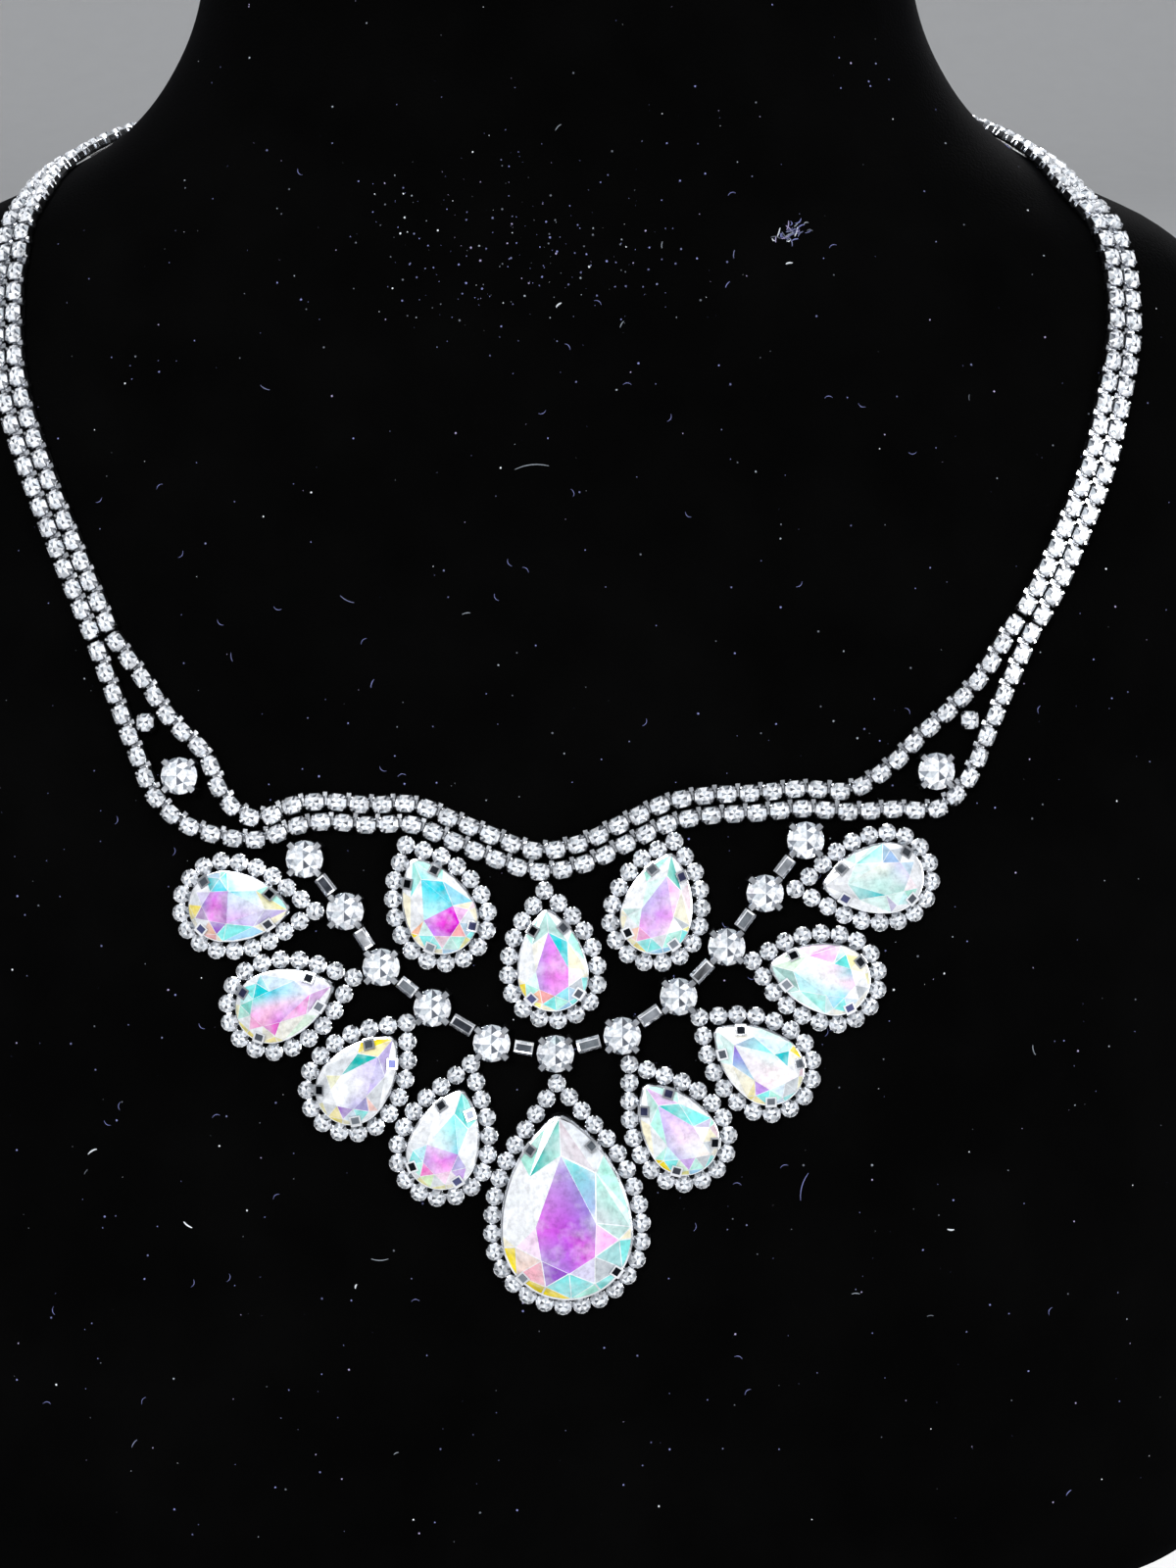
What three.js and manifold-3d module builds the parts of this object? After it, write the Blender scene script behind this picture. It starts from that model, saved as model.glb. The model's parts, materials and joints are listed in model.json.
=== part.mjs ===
// Bib necklace of pear cut, round and chain-set stones, fastened round a plain neck bust.
// Millimetres, +Z up. The front faces -Y. The origin is the middle of the bust's flat base.
import * as THREE from 'three';
import * as BufferGeometryUtils from 'three/addons/utils/BufferGeometryUtils.js';
import Module from 'manifold-3d';

const wasm = await Module();
wasm.setup();
const DEG = Math.PI / 180;

// Neck bust: overall sizes, and its level sections as shares of them.
// up is a share of the height, wide a share of the half width, and front, mid and back
// are shares of the half depth. square is the power of the superellipse, and rings the
// number of rings of faces up to the next section.
const BUST_HEIGHT = 228;
const BUST_WIDTH = 200;
const BUST_DEPTH = 136;
const BUST_SIDES = 34;
const BUST_SECTIONS = [
  { up: 0.000, wide: 1.000, front: -1.000, mid: 0.10, back: 1.00, square: 4.40, rings: 1 },
  { up: 0.200, wide: 1.000, front: -0.756, mid: 0.15, back: 1.00, square: 4.00, rings: 1 },
  { up: 0.420, wide: 1.000, front: -0.487, mid: 0.22, back: 1.00, square: 3.35, rings: 1 },
  { up: 0.580, wide: 1.000, front: -0.292, mid: 0.30, back: 1.00, square: 3.10, rings: 1 },
  { up: 0.680, wide: 0.990, front: -0.170, mid: 0.35, back: 1.00, square: 2.90, rings: 1 },
  { up: 0.725, wide: 0.950, front: -0.112, mid: 0.38, back: 0.99, square: 2.70, rings: 1 },
  { up: 0.754, wide: 0.870, front: -0.080, mid: 0.40, back: 0.98, square: 2.50, rings: 1 },
  { up: 0.776, wide: 0.760, front: -0.062, mid: 0.42, back: 0.96, square: 2.35, rings: 2 },
  { up: 0.806, wide: 0.635, front: -0.050, mid: 0.43, back: 0.93, square: 2.20, rings: 3 },
  { up: 0.850, wide: 0.550, front: -0.040, mid: 0.44, back: 0.91, square: 2.10, rings: 1 },
  { up: 0.900, wide: 0.508, front: -0.035, mid: 0.44, back: 0.90, square: 2.00, rings: 1 },
  { up: 1.000, wide: 0.495, front: -0.035, mid: 0.44, back: 0.90, square: 2.00, rings: 0 },
];

// Gap between pieces that touch, and between a piece and the velvet under it.
const GAP = 0.3;

// The bib lies on the chest. Places on it are out, sideways from the middle, and up,
// along the slope of the chest from the bib's datum, which is this high on the bust.
const BIB_DATUM = 100;

// Pear cut stones in their settings.
const PEAR = { width: 9.6, length: 14, setting: 2.4, crown: 1.7, tableShare: 0.6 };
const MAIN_PEAR = { width: 17.6, length: 25, setting: 3.6, crown: 2.8, tableShare: 0.6 };
const PEAR_ARC_STEPS = 7;
const PEAR_FLANK_STEPS = 3;

// The flat tabs that hold a pear: lean is their tilt in degrees, over how far their middle
// lies inside the rim and rise how far above it. Their places are directions from the tip.
const TAB = { wide: 1.7, long: 1.5, thick: 0.6, lean: 28, over: 0.93, rise: 0.45 };
const TAB_PLACES = [21, 130, 230, 339];

// The pears that point at the arc of round stones. meets is the stone that the chain round
// the pear is soldered to, tip the direction of its tip in degrees, aside how far that stone
// lies beside its middle line, and reach how far the chain runs past the tip.
const OUTER_PEARS = [
  { name: 'pear_outer_left', meets: 'round_2', tip: -3, aside: 0.45, reach: 3.0, size: PEAR },
  { name: 'pear_second_left', meets: 'round_3', tip: 20, aside: 0.2, reach: 2.5, size: PEAR },
  { name: 'pear_third_left', meets: 'round_4', tip: 50, aside: -1.3, reach: 2.3, size: PEAR },
  { name: 'pear_fourth_left', meets: 'round_5', tip: 72, aside: -1.8, reach: 3.3, size: PEAR },
  { name: 'pear_main', meets: 'round_6', tip: 94, aside: -0.1, reach: 3.6, size: MAIN_PEAR },
  { name: 'pear_fourth_right', meets: 'round_7', tip: 126, aside: -1.5, reach: 3.1, size: PEAR },
  { name: 'pear_third_right', meets: 'round_8', tip: 143, aside: -0.6, reach: 2.3, size: PEAR },
  { name: 'pear_second_right', meets: 'round_9', tip: 167, aside: -1.2, reach: 2.0, size: PEAR },
  { name: 'pear_outer_right', meets: 'round_10', tip: 187, aside: -0.2, reach: 3.3, size: PEAR },
];

// The pears between the arc and the upper edge, by the middle of their round end.
const INNER_PEARS = [
  { name: 'pear_inner_left', out: -15.0, up: -14.0, tip: 117, reach: 1.8, size: PEAR },
  { name: 'pear_inner_middle', out: -0.3, up: -21.6, tip: 96, reach: 2.2, size: PEAR },
  { name: 'pear_inner_right', out: 13.3, up: -14.0, tip: 76, reach: 1.4, size: PEAR },
];

// Chains of small stones set round each pear. They are made here as closed tubes.
const HALO = { gap: 0.36, wide: 1.9, steps: 14, mainSteps: 22, sides: 8 };

// Large round stones with four prongs, and the polished bars between those on the arc.
const ROUND = { radius: 2.75, setting: 2.0, crown: 1.2, tableShare: 0.6, sides: 12 };
const PRONG = { radius: 0.42, rise: 0.7, inset: 0.34, foot: 0.01, sides: 3 };
const PRONG_PLACES = [45, 135, 225, 315];
const BAR = { wide: 1.8, high: 1.5, bevel: 0.3 };
const ARC_ROUNDS = [
  { name: 'round_1', out: -33.4, up: -6.2 },
  { name: 'round_2', out: -28.0, up: -13.1 },
  { name: 'round_3', out: -23.2, up: -20.5 },
  { name: 'round_4', out: -16.4, up: -25.9 },
  { name: 'round_5', out: -8.5, up: -30.6 },
  { name: 'round_6', out: 0.0, up: -32.0 },
  { name: 'round_7', out: 8.9, up: -29.6 },
  { name: 'round_8', out: 16.4, up: -24.4 },
  { name: 'round_9', out: 22.8, up: -17.8 },
  { name: 'round_10', out: 27.9, up: -10.7 },
  { name: 'round_11', out: 33.3, up: -3.7 },
];
const SIDE_ROUNDS = [
  { name: 'round_side_left', out: -50.2, up: 4.5 },
  { name: 'round_side_right', out: 50.8, up: 5.1 },
];
const SIDE_STONES = [
  { name: 'stone_side_left', out: -55.0, up: 11.5 },
  { name: 'stone_side_right', out: 55.5, up: 11.8 },
];
const SIDE_STONE_RADIUS = 1.35;

// Chains of stones in eight sided cups, joined by short links.
const CUP = { radius: 1.24, link: 0.7, setting: 1.3, crown: 0.65, tableShare: 0.58 };
const CUP_CORNERS = 8;
const CUP_PITCH = 3.05;
const ROW_PITCH = 2.6;

// The two rows along the bib's upper edge, from the left band to the right one.
const EDGE_INNER = [
  { out: -59.1, up: 22.2 }, { out: -54.9, up: 16.7 }, { out: -51.3, up: 11.7 },
  { out: -46.9, up: 7.5 }, { out: -45.0, up: 2.9 }, { out: -42.4, up: -0.1 },
  { out: -39.3, up: -0.9 }, { out: -35.4, up: 0.9 }, { out: -31.3, up: 1.5 },
  { out: -24.9, up: 1.1 }, { out: -19.0, up: 1.2 }, { out: -13.5, up: -0.9 },
  { out: -7.4, up: -3.4 }, { out: -2.6, up: -5.0 }, { out: 3.3, up: -4.0 },
  { out: 9.2, up: -1.2 }, { out: 15.1, up: 1.5 }, { out: 20.5, up: 2.4 },
  { out: 27.0, up: 2.7 }, { out: 33.3, up: 3.2 }, { out: 39.5, up: 2.9 },
  { out: 44.9, up: 6.1 }, { out: 48.9, up: 10.0 }, { out: 52.9, up: 13.4 },
  { out: 57.0, up: 17.5 }, { out: 61.6, up: 24.4 },
];
const EDGE_OUTER = [
  { out: -61.6, up: 20.8 }, { out: -58.5, up: 12.8 }, { out: -56.0, up: 6.6 },
  { out: -53.8, up: 1.7 }, { out: -50.0, up: -1.7 }, { out: -45.8, up: -3.2 },
  { out: -39.4, up: -3.7 }, { out: -35.2, up: -2.0 }, { out: -30.8, up: -1.2 },
  { out: -25.0, up: -1.6 }, { out: -19.3, up: -1.5 }, { out: -13.9, up: -3.6 },
  { out: -7.8, up: -6.2 }, { out: -2.1, up: -7.8 }, { out: 4.0, up: -6.7 },
  { out: 9.8, up: -3.9 }, { out: 15.3, up: -1.3 }, { out: 20.8, up: -0.3 },
  { out: 27.0, up: 0.0 }, { out: 33.1, up: 0.5 }, { out: 39.2, up: 0.0 },
  { out: 45.6, up: 0.2 }, { out: 51.2, up: 0.1 }, { out: 55.2, up: 3.7 },
  { out: 57.8, up: 9.4 }, { out: 60.4, up: 15.4 }, { out: 64.0, up: 23.1 },
];

// The double band on each side, from the edge over the shoulder to the clasp.
// around is in degrees on the section from the front, up is a share of the bust's height.
const BAND_LEFT = [
  { around: 29.0, up: 0.553 }, { around: 33.1, up: 0.594 }, { around: 37.6, up: 0.639 },
  { around: 40.1, up: 0.664 }, { around: 43.6, up: 0.703 }, { around: 48.1, up: 0.732 },
  { around: 54.4, up: 0.751 }, { around: 62.4, up: 0.765 }, { around: 75.1, up: 0.779 },
  { around: 86.0, up: 0.788 }, { around: 98.0, up: 0.796 }, { around: 122.0, up: 0.806 },
  { around: 150.0, up: 0.812 }, { around: 180.0, up: 0.814 },
];
const BAND_RIGHT = [
  { around: 31.4, up: 0.557 }, { around: 34.2, up: 0.581 }, { around: 39.3, up: 0.629 },
  { around: 42.3, up: 0.665 }, { around: 45.4, up: 0.695 }, { around: 49.0, up: 0.722 },
  { around: 54.4, up: 0.744 }, { around: 61.0, up: 0.761 }, { around: 69.0, up: 0.775 },
  { around: 78.0, up: 0.785 }, { around: 88.0, up: 0.793 }, { around: 98.0, up: 0.799 },
  { around: 122.0, up: 0.808 }, { around: 150.0, up: 0.812 }, { around: 180.0, up: 0.814 },
];
const BAND_TUBE = { diameter: 2.3, sides: 8, step: 6.5 };

// The clasp that closes the loop behind the neck.
const CLASP = { length: 20, thick: 2.0, corner: 1.4 };

const FINISH = {
  velvet: new THREE.MeshStandardMaterial({ color: 0x0b0b0d, roughness: 0.95, metalness: 0.0 }),
  silver: new THREE.MeshStandardMaterial({ color: 0xc9ccd1, roughness: 0.25, metalness: 1.0 }),
  clear: new THREE.MeshStandardMaterial({ color: 0xe8eef5, roughness: 0.08, metalness: 0.2 }),
  pear: new THREE.MeshStandardMaterial({ color: 0xb9a6d8, roughness: 0.06, metalness: 0.2 }),
};

// Shape of the bust

// The sizes of the bust's section at a height, on smooth curves through the table.
function bustSection(z) {
  const rows = BUST_SECTIONS;
  const up = THREE.MathUtils.clamp(z / BUST_HEIGHT, 0, 1);
  let i = 0;
  while (i < rows.length - 2 && up > rows[i + 1].up) i += 1;
  const span = rows[i + 1].up - rows[i].up;
  const t = (up - rows[i].up) / span;
  const slope = (j, key) => {
    const a = rows[Math.max(j - 1, 0)];
    const b = rows[Math.min(j + 1, rows.length - 1)];
    return (b[key] - a[key]) / (b.up - a.up);
  };
  const value = (key) => (2 * t ** 3 - 3 * t ** 2 + 1) * rows[i][key]
    + (t ** 3 - 2 * t ** 2 + t) * span * slope(i, key)
    + (3 * t ** 2 - 2 * t ** 3) * rows[i + 1][key]
    + (t ** 3 - t ** 2) * span * slope(i + 1, key);
  return {
    half: value('wide') * BUST_WIDTH / 2,
    front: value('front') * BUST_DEPTH / 2,
    mid: value('mid') * BUST_DEPTH / 2,
    back: value('back') * BUST_DEPTH / 2,
    power: value('square'),
  };
}

// A point of the bust's surface, by its angle from the front and its height.
function bustPoint(around, z) {
  const s = bustSection(z);
  const share = (value) => Math.sign(value) * Math.abs(value) ** (2 / s.power);
  const deep = Math.cos(around) > 0 ? s.mid - s.front : s.back - s.mid;
  return new THREE.Vector3(s.half * share(Math.sin(around)),
    s.mid - deep * share(Math.cos(around)), z);
}

// A point of the front of the bust, by its distance from the middle and its height.
function chestPoint(x, z) {
  const s = bustSection(z);
  const rest = 1 - Math.min(Math.abs(x) / s.half, 1) ** s.power;
  return new THREE.Vector3(x, s.mid - (s.mid - s.front) * rest ** (1 / s.power), z);
}

// The outward direction of a surface given as a function of two numbers.
function outward(surface, a, b, stepA, stepB) {
  const alongA = surface(a + stepA, b).sub(surface(a - stepA, b));
  const alongB = surface(a, b + stepB).sub(surface(a, b - stepB));
  return alongA.cross(alongB).normalize();
}

const FIRST = BUST_SECTIONS[0];
const CHEST = BUST_SECTIONS[3];
const CHEST_SLOPE = Math.atan2((CHEST.front - FIRST.front) * BUST_DEPTH / 2,
  (CHEST.up - FIRST.up) * BUST_HEIGHT);

// A place on the chest: its point and the direction straight out of the velvet.
function onChest({ out, up }) {
  const z = BIB_DATUM + up * Math.cos(CHEST_SLOPE);
  return { point: chestPoint(out, z), normal: outward(chestPoint, out, z, 1, 1) };
}

// A place anywhere on the bust: around in degrees, negative on the left, up as a share.
function onBust({ around, up }) {
  const angle = around * DEG;
  const z = up * BUST_HEIGHT;
  return { point: bustPoint(angle, z), normal: outward(bustPoint, angle, z, 0.02, 1) };
}

// Sets a mesh made flat, facing +Z, on a place of the bust, turned about the normal.
function seat(mesh, place, turn, lift = GAP) {
  const ahead = new THREE.Vector3(1, 0, 0).projectOnPlane(place.normal).normalize();
  const side = new THREE.Vector3().crossVectors(place.normal, ahead);
  const basis = new THREE.Matrix4().makeBasis(ahead, side, place.normal);
  mesh.quaternion.setFromRotationMatrix(basis);
  mesh.rotateZ(turn);
  mesh.position.copy(place.point).addScaledVector(place.normal, lift);
  return mesh;
}

// Meshes by hand

// A closed geometry from points and faces, each face a ring of point numbers seen from outside.
function solid(points, faces) {
  const geometry = new THREE.BufferGeometry();
  const index = [];
  for (const face of faces) {
    for (let i = 1; i < face.length - 1; i += 1) index.push(face[0], face[i], face[i + 1]);
  }
  geometry.setFromPoints(points);
  geometry.setIndex(index);
  return geometry;
}

// A closed geometry through rings of equal count, with flat ends.
function stack(rings) {
  const count = rings[0].length;
  const faces = [[...Array(count).keys()].reverse()];
  for (let r = 0; r < rings.length - 1; r += 1) {
    for (let i = 0; i < count; i += 1) {
      const a = r * count + i;
      const b = r * count + (i + 1) % count;
      faces.push([a, b, b + count, a + count]);
    }
  }
  faces.push([...Array(count).keys()].map((i) => (rings.length - 1) * count + i));
  return solid(rings.flat(), faces);
}

// Merges a geometry's corners so that it can be cut and joined.
function toManifold(geometry) {
  const bare = geometry.clone();
  bare.deleteAttribute('normal');
  bare.deleteAttribute('uv');
  const merged = BufferGeometryUtils.mergeVertices(bare, 1e-4);
  return new wasm.Manifold(new wasm.Mesh({
    numProp: 3,
    vertProperties: new Float32Array(merged.attributes.position.array),
    triVerts: new Uint32Array(merged.index.array),
  }));
}

// Joins closed geometries into one body.
function joined(geometries) {
  const whole = geometries.map(toManifold).reduce((a, b) => a.add(b));
  const mesh = whole.getMesh();
  const geometry = new THREE.BufferGeometry();
  geometry.setAttribute('position', new THREE.Float32BufferAttribute(mesh.vertProperties, 3));
  geometry.setIndex([...mesh.triVerts]);
  return geometry;
}

function named(name, geometry, material) {
  const mesh = new THREE.Mesh(geometry, material);
  mesh.name = name;
  return mesh;
}

// Pieces

// The bust, as rings of faces between flat ends.
function bust() {
  const rows = BUST_SECTIONS;
  const heights = [];
  for (let i = 0; i < rows.length - 1; i += 1) {
    for (let k = 0; k < rows[i].rings; k += 1) {
      const share = k / rows[i].rings;
      heights.push(THREE.MathUtils.lerp(rows[i].up, rows[i + 1].up, share) * BUST_HEIGHT);
    }
  }
  heights.push(BUST_HEIGHT);
  const rings = heights.map((z) => Array.from({ length: BUST_SIDES },
    (_, i) => bustPoint(i / BUST_SIDES * 2 * Math.PI, z)));
  return named('neck_bust', stack(rings), FINISH.velvet);
}

// The outline of a pear, widened by a margin: a round end about the origin, with its
// flanks as arcs that leave it square to its width and meet in the tip on +X.
function pearOutline(size, margin = 0) {
  const round = size.width / 2;
  const tip = size.length - round;
  const flank = (round ** 2 + tip ** 2) / (2 * round);
  const centre = flank - round;
  const outer = flank + margin;
  const sweep = Math.acos(centre / outer);
  const points = [];
  for (let i = 0; i <= PEAR_FLANK_STEPS; i += 1) {
    const angle = sweep * (1 - i / PEAR_FLANK_STEPS);
    points.push(new THREE.Vector2(outer * Math.sin(angle), outer * Math.cos(angle) - centre));
  }
  for (let i = 1; i < PEAR_ARC_STEPS; i += 1) {
    const angle = 90 * DEG + i / PEAR_ARC_STEPS * Math.PI;
    points.push(new THREE.Vector2(Math.cos(angle), Math.sin(angle)).multiplyScalar(round + margin));
  }
  for (let i = 0; i < PEAR_FLANK_STEPS; i += 1) {
    const angle = sweep * i / PEAR_FLANK_STEPS;
    points.push(new THREE.Vector2(outer * Math.sin(angle), centre - outer * Math.cos(angle)));
  }
  return points;
}

// A pear with its place, worked out from the round stone that its chain meets.
function placedPear(pear) {
  const { meets, tip, aside, reach, size } = pear;
  const stone = ARC_ROUNDS.find((row) => row.name === meets);
  const touch = ROUND.radius + GAP + HALO.wide / 2;
  const far = Math.sqrt(touch ** 2 - aside ** 2) + reach + size.length - size.width / 2;
  const middle = new THREE.Vector2(-far, -aside).rotateAround(new THREE.Vector2(), tip * DEG);
  return { ...pear, out: stone.out + middle.x, up: stone.up + middle.y };
}

// A pear cut stone with a table and sloping crown facets, in a setting with four flat tabs.
function pearStone({ name, out, up, tip, size }) {
  const girdle = size.setting;
  const level = (outline, z) => outline.map((p) => new THREE.Vector3(p.x, p.y, z));
  const rim = pearOutline(size);
  const table = rim.map((p) => p.clone().multiplyScalar(size.tableShare));
  const body = stack([level(rim, 0), level(rim, girdle), level(table, girdle + size.crown)]);
  const tabs = TAB_PLACES.map((angle) => {
    const ray = new THREE.Vector2(Math.cos(angle * DEG), Math.sin(angle * DEG));
    const nearness = rim.map((p) => p.clone().normalize().dot(ray));
    const i = nearness.indexOf(Math.max(...nearness));
    const along = rim[(i + 1) % rim.length].clone().sub(rim.at(i - 1));
    const tab = new THREE.BoxGeometry(TAB.long, TAB.wide, TAB.thick);
    tab.rotateY(TAB.lean * DEG);
    tab.translate(-TAB.over, 0, girdle + TAB.rise);
    tab.rotateZ(along.angle() - 90 * DEG);
    tab.translate(rim[i].x, rim[i].y, 0);
    return tab;
  });
  const mesh = named(name, joined([body, ...tabs]), FINISH.pear);
  return seat(mesh, onChest({ out, up }), tip * DEG);
}

// The chain of small stones round a pear, as a closed tube.
function halo({ name, out, up, tip, reach, size }) {
  const radius = HALO.wide / 2;
  const outline = pearOutline(size, HALO.gap + radius);
  outline[0].setX(size.length - size.width / 2 + reach);
  const path = new THREE.CatmullRomCurve3(outline.map((p) => new THREE.Vector3(p.x, p.y, 0)), true);
  const steps = size === MAIN_PEAR ? HALO.mainSteps : HALO.steps;
  const ring = new THREE.TubeGeometry(path, steps, radius, HALO.sides, true);
  const mesh = named(name.replace('pear', 'halo'), ring, FINISH.silver);
  return seat(mesh, onChest({ out, up }), tip * DEG, GAP + radius);
}

// A round stone with a table and crown facets, in a cup with four prongs.
function roundStone({ name, out, up }) {
  const { radius, setting, crown, tableShare, sides } = ROUND;
  const profile = [[0, 0], [radius, 0], [radius, setting],
    [radius * tableShare, setting + crown], [0, setting + crown]];
  const cup = new THREE.LatheGeometry(profile.map(([x, y]) => new THREE.Vector2(x, y)), sides);
  cup.rotateX(90 * DEG);
  const tall = setting + PRONG.rise;
  const prongs = PRONG_PLACES.map((angle) => {
    const prong = new THREE.CylinderGeometry(PRONG.radius, PRONG.radius, tall, PRONG.sides);
    prong.rotateX(90 * DEG);
    prong.translate(radius - PRONG.inset, 0, tall / 2 + PRONG.foot);
    prong.rotateZ(angle * DEG);
    return prong;
  });
  return seat(named(name, joined([cup, ...prongs]), FINISH.clear), onChest({ out, up }), 0);
}

// A polished bar between two round stones, with bevelled upper edges.
function bar(from, to, name) {
  const length = Math.hypot(to.out - from.out, to.up - from.up) - 2 * (ROUND.radius + GAP);
  const half = BAR.wide / 2;
  const shoulder = BAR.high - BAR.bevel;
  const outline = [[-half, 0], [half, 0], [half, shoulder], [half - BAR.bevel, BAR.high],
    [BAR.bevel - half, BAR.high], [-half, shoulder]];
  const shape = new THREE.Shape(outline.map(([x, y]) => new THREE.Vector2(x, y)));
  const geometry = new THREE.ExtrudeGeometry(shape, { depth: length, bevelEnabled: false });
  geometry.translate(0, 0, -length / 2);
  geometry.rotateX(90 * DEG);
  const middle = { out: (from.out + to.out) / 2, up: (from.up + to.up) / 2 };
  const turn = Math.atan2(to.up - from.up, to.out - from.out) - 90 * DEG;
  return seat(named(name, geometry, FINISH.silver), onChest(middle), turn);
}

// The eight corners of a cup at one level, the first two on the side that faces ahead.
function cupRing(frame, radius, z) {
  return Array.from({ length: CUP_CORNERS }, (_, i) => {
    const angle = (i - 0.5) / CUP_CORNERS * 2 * Math.PI;
    return frame.point.clone()
      .addScaledVector(frame.ahead, radius * Math.cos(angle))
      .addScaledVector(frame.side, radius * Math.sin(angle))
      .addScaledVector(frame.normal, z);
  });
}

// A chain of cut stones in cups, joined by links, along frames on the velvet.
// Each cup has a base, a link level on its two linked sides, a girdle and a table.
function stoneChain(frames) {
  const girdle = CUP.setting;
  const perCup = 4 * CUP_CORNERS;
  const points = [];
  const faces = [];
  for (const frame of frames) {
    points.push(...cupRing(frame, CUP.radius, 0), ...cupRing(frame, CUP.radius, CUP.link),
      ...cupRing(frame, CUP.radius, girdle),
      ...cupRing(frame, CUP.radius * CUP.tableShare, girdle + CUP.crown));
  }
  frames.forEach((_, k) => {
    const b = (i) => k * perCup + i;
    const m = (i) => b(i) + CUP_CORNERS;
    const g = (i) => m(i) + CUP_CORNERS;
    const t = (i) => g(i) + CUP_CORNERS;
    const next = perCup;
    faces.push([0, 7, 6, 5, 4, 3, 2, 1].map(b), [0, 1, 2, 3, 4, 5, 6, 7].map(t));
    for (let i = 0; i < 8; i += 1) faces.push([g(i), g((i + 1) % 8), t((i + 1) % 8), t(i)]);
    faces.push([m(0), m(1), g(1), g(0)], [m(4), m(5), g(5), g(4)]);
    faces.push([b(2), b(3), g(3), g(2)], [b(6), b(7), g(7), g(6)]);
    faces.push([b(1), b(2), g(2), g(1), m(1)], [b(3), b(4), m(4), g(4), g(3)]);
    faces.push([b(5), b(6), g(6), g(5), m(5)], [b(7), b(0), m(0), g(0), g(7)]);
    if (k === 0) faces.push([b(4), b(5), m(5), m(4)]);
    if (k === frames.length - 1) {
      faces.push([b(0), b(1), m(1), m(0)]);
      return;
    }
    faces.push([m(0), m(5) + next, m(4) + next, m(1)], [b(1), b(4) + next, b(5) + next, b(0)]);
    faces.push([b(0), b(5) + next, m(5) + next, m(0)], [b(1), m(1), m(4) + next, b(4) + next]);
  });
  const geometry = solid(points, faces);
  return trimUnused(geometry);
}

// Drops points that no face uses.
function trimUnused(geometry) {
  const used = [...new Set(geometry.index.array)].sort((a, b) => a - b);
  const number = new Map(used.map((old, i) => [old, i]));
  const place = geometry.attributes.position;
  const points = used.map((i) => new THREE.Vector3().fromBufferAttribute(place, i));
  const trimmed = new THREE.BufferGeometry().setFromPoints(points);
  trimmed.setIndex([...geometry.index.array].map((i) => number.get(i)));
  return trimmed;
}

// Frames at equal steps along a stretch of a curve on the bust, each with its direction ahead.
// first and last are shares of the curve's length.
function framesAlong(places, steps, first = 0, last = 1) {
  const curve = new THREE.CatmullRomCurve3(places.map((p) => p.point));
  const normals = new THREE.CatmullRomCurve3(places.map((p) => p.normal));
  curve.arcLengthDivisions = 2000;
  return Array.from({ length: steps + 1 }, (_, i) => {
    const t = curve.getUtoTmapping(THREE.MathUtils.lerp(first, last, i / steps));
    const normal = normals.getPoint(t).normalize();
    const ahead = curve.getTangent(t).projectOnPlane(normal).normalize();
    const side = new THREE.Vector3().crossVectors(normal, ahead);
    return { point: curve.getPoint(t), normal, ahead, side };
  });
}

// Places close together along a smooth route through a few chosen ones.
function alongRoute(rows, keys, place, perRow = 8) {
  const [first, second] = keys;
  const points = rows.map((row) => new THREE.Vector3(row[first], row[second], 0));
  return new THREE.CatmullRomCurve3(points).getPoints((rows.length - 1) * perRow)
    .map((p) => place({ [first]: p.x, [second]: p.y }));
}

// The length of a line through places.
function lengthOf(places) {
  return places.slice(1).reduce((sum, p, i) => sum + p.point.distanceTo(places[i].point), 0);
}

// One row of the upper edge: a chain of stones along its route.
function edgeChain(name, rows) {
  const places = alongRoute(rows, ['out', 'up'], onChest);
  const frames = framesAlong(places, Math.round(lengthOf(places) / CUP_PITCH));
  for (const frame of frames) frame.point.addScaledVector(frame.normal, GAP);
  return named(name, stoneChain(frames), FINISH.clear);
}

// The place between the ends of the two edge rows, where a band takes over from them.
function betweenRows(inner, outer) {
  const out = Math.abs(inner.out + outer.out) / 2;
  const z = BIB_DATUM + (inner.up + outer.up) / 2 * Math.cos(CHEST_SLOPE);
  const s = bustSection(z);
  return { around: Math.asin((out / s.half) ** (s.power / 2)) / DEG, up: z / BUST_HEIGHT };
}

// One chain of a band, as a tube from the end of the edge to the clasp. shift is how far
// it lies to the side of the band's middle line, towards the neck when positive.
function bandTube(name, rows, sign, shift) {
  const places = alongRoute(rows, ['around', 'up'],
    (row) => onBust({ around: sign * row.around, up: row.up }), 12);
  const length = lengthOf(places);
  const start = (CUP.radius + 2 * GAP) / length;
  const end = 1 - (CLASP.length / 2 + GAP) / length;
  const steps = Math.round((end - start) * length / BAND_TUBE.step);
  const radius = BAND_TUBE.diameter / 2;
  const line = framesAlong(places, steps, start, end).map((frame) => frame.point
    .addScaledVector(frame.normal, GAP + radius)
    .addScaledVector(frame.side, sign * shift));
  const section = new THREE.Shape(Array.from({ length: BAND_TUBE.sides }, (_, i) => {
    const angle = i / BAND_TUBE.sides * 2 * Math.PI;
    return new THREE.Vector2(radius * Math.cos(angle), radius * Math.sin(angle));
  }));
  const path = new THREE.CatmullRomCurve3(line);
  const tube = new THREE.ExtrudeGeometry(section, { steps, extrudePath: path, bevelEnabled: false });
  return named(name, tube, FINISH.silver);
}

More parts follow.
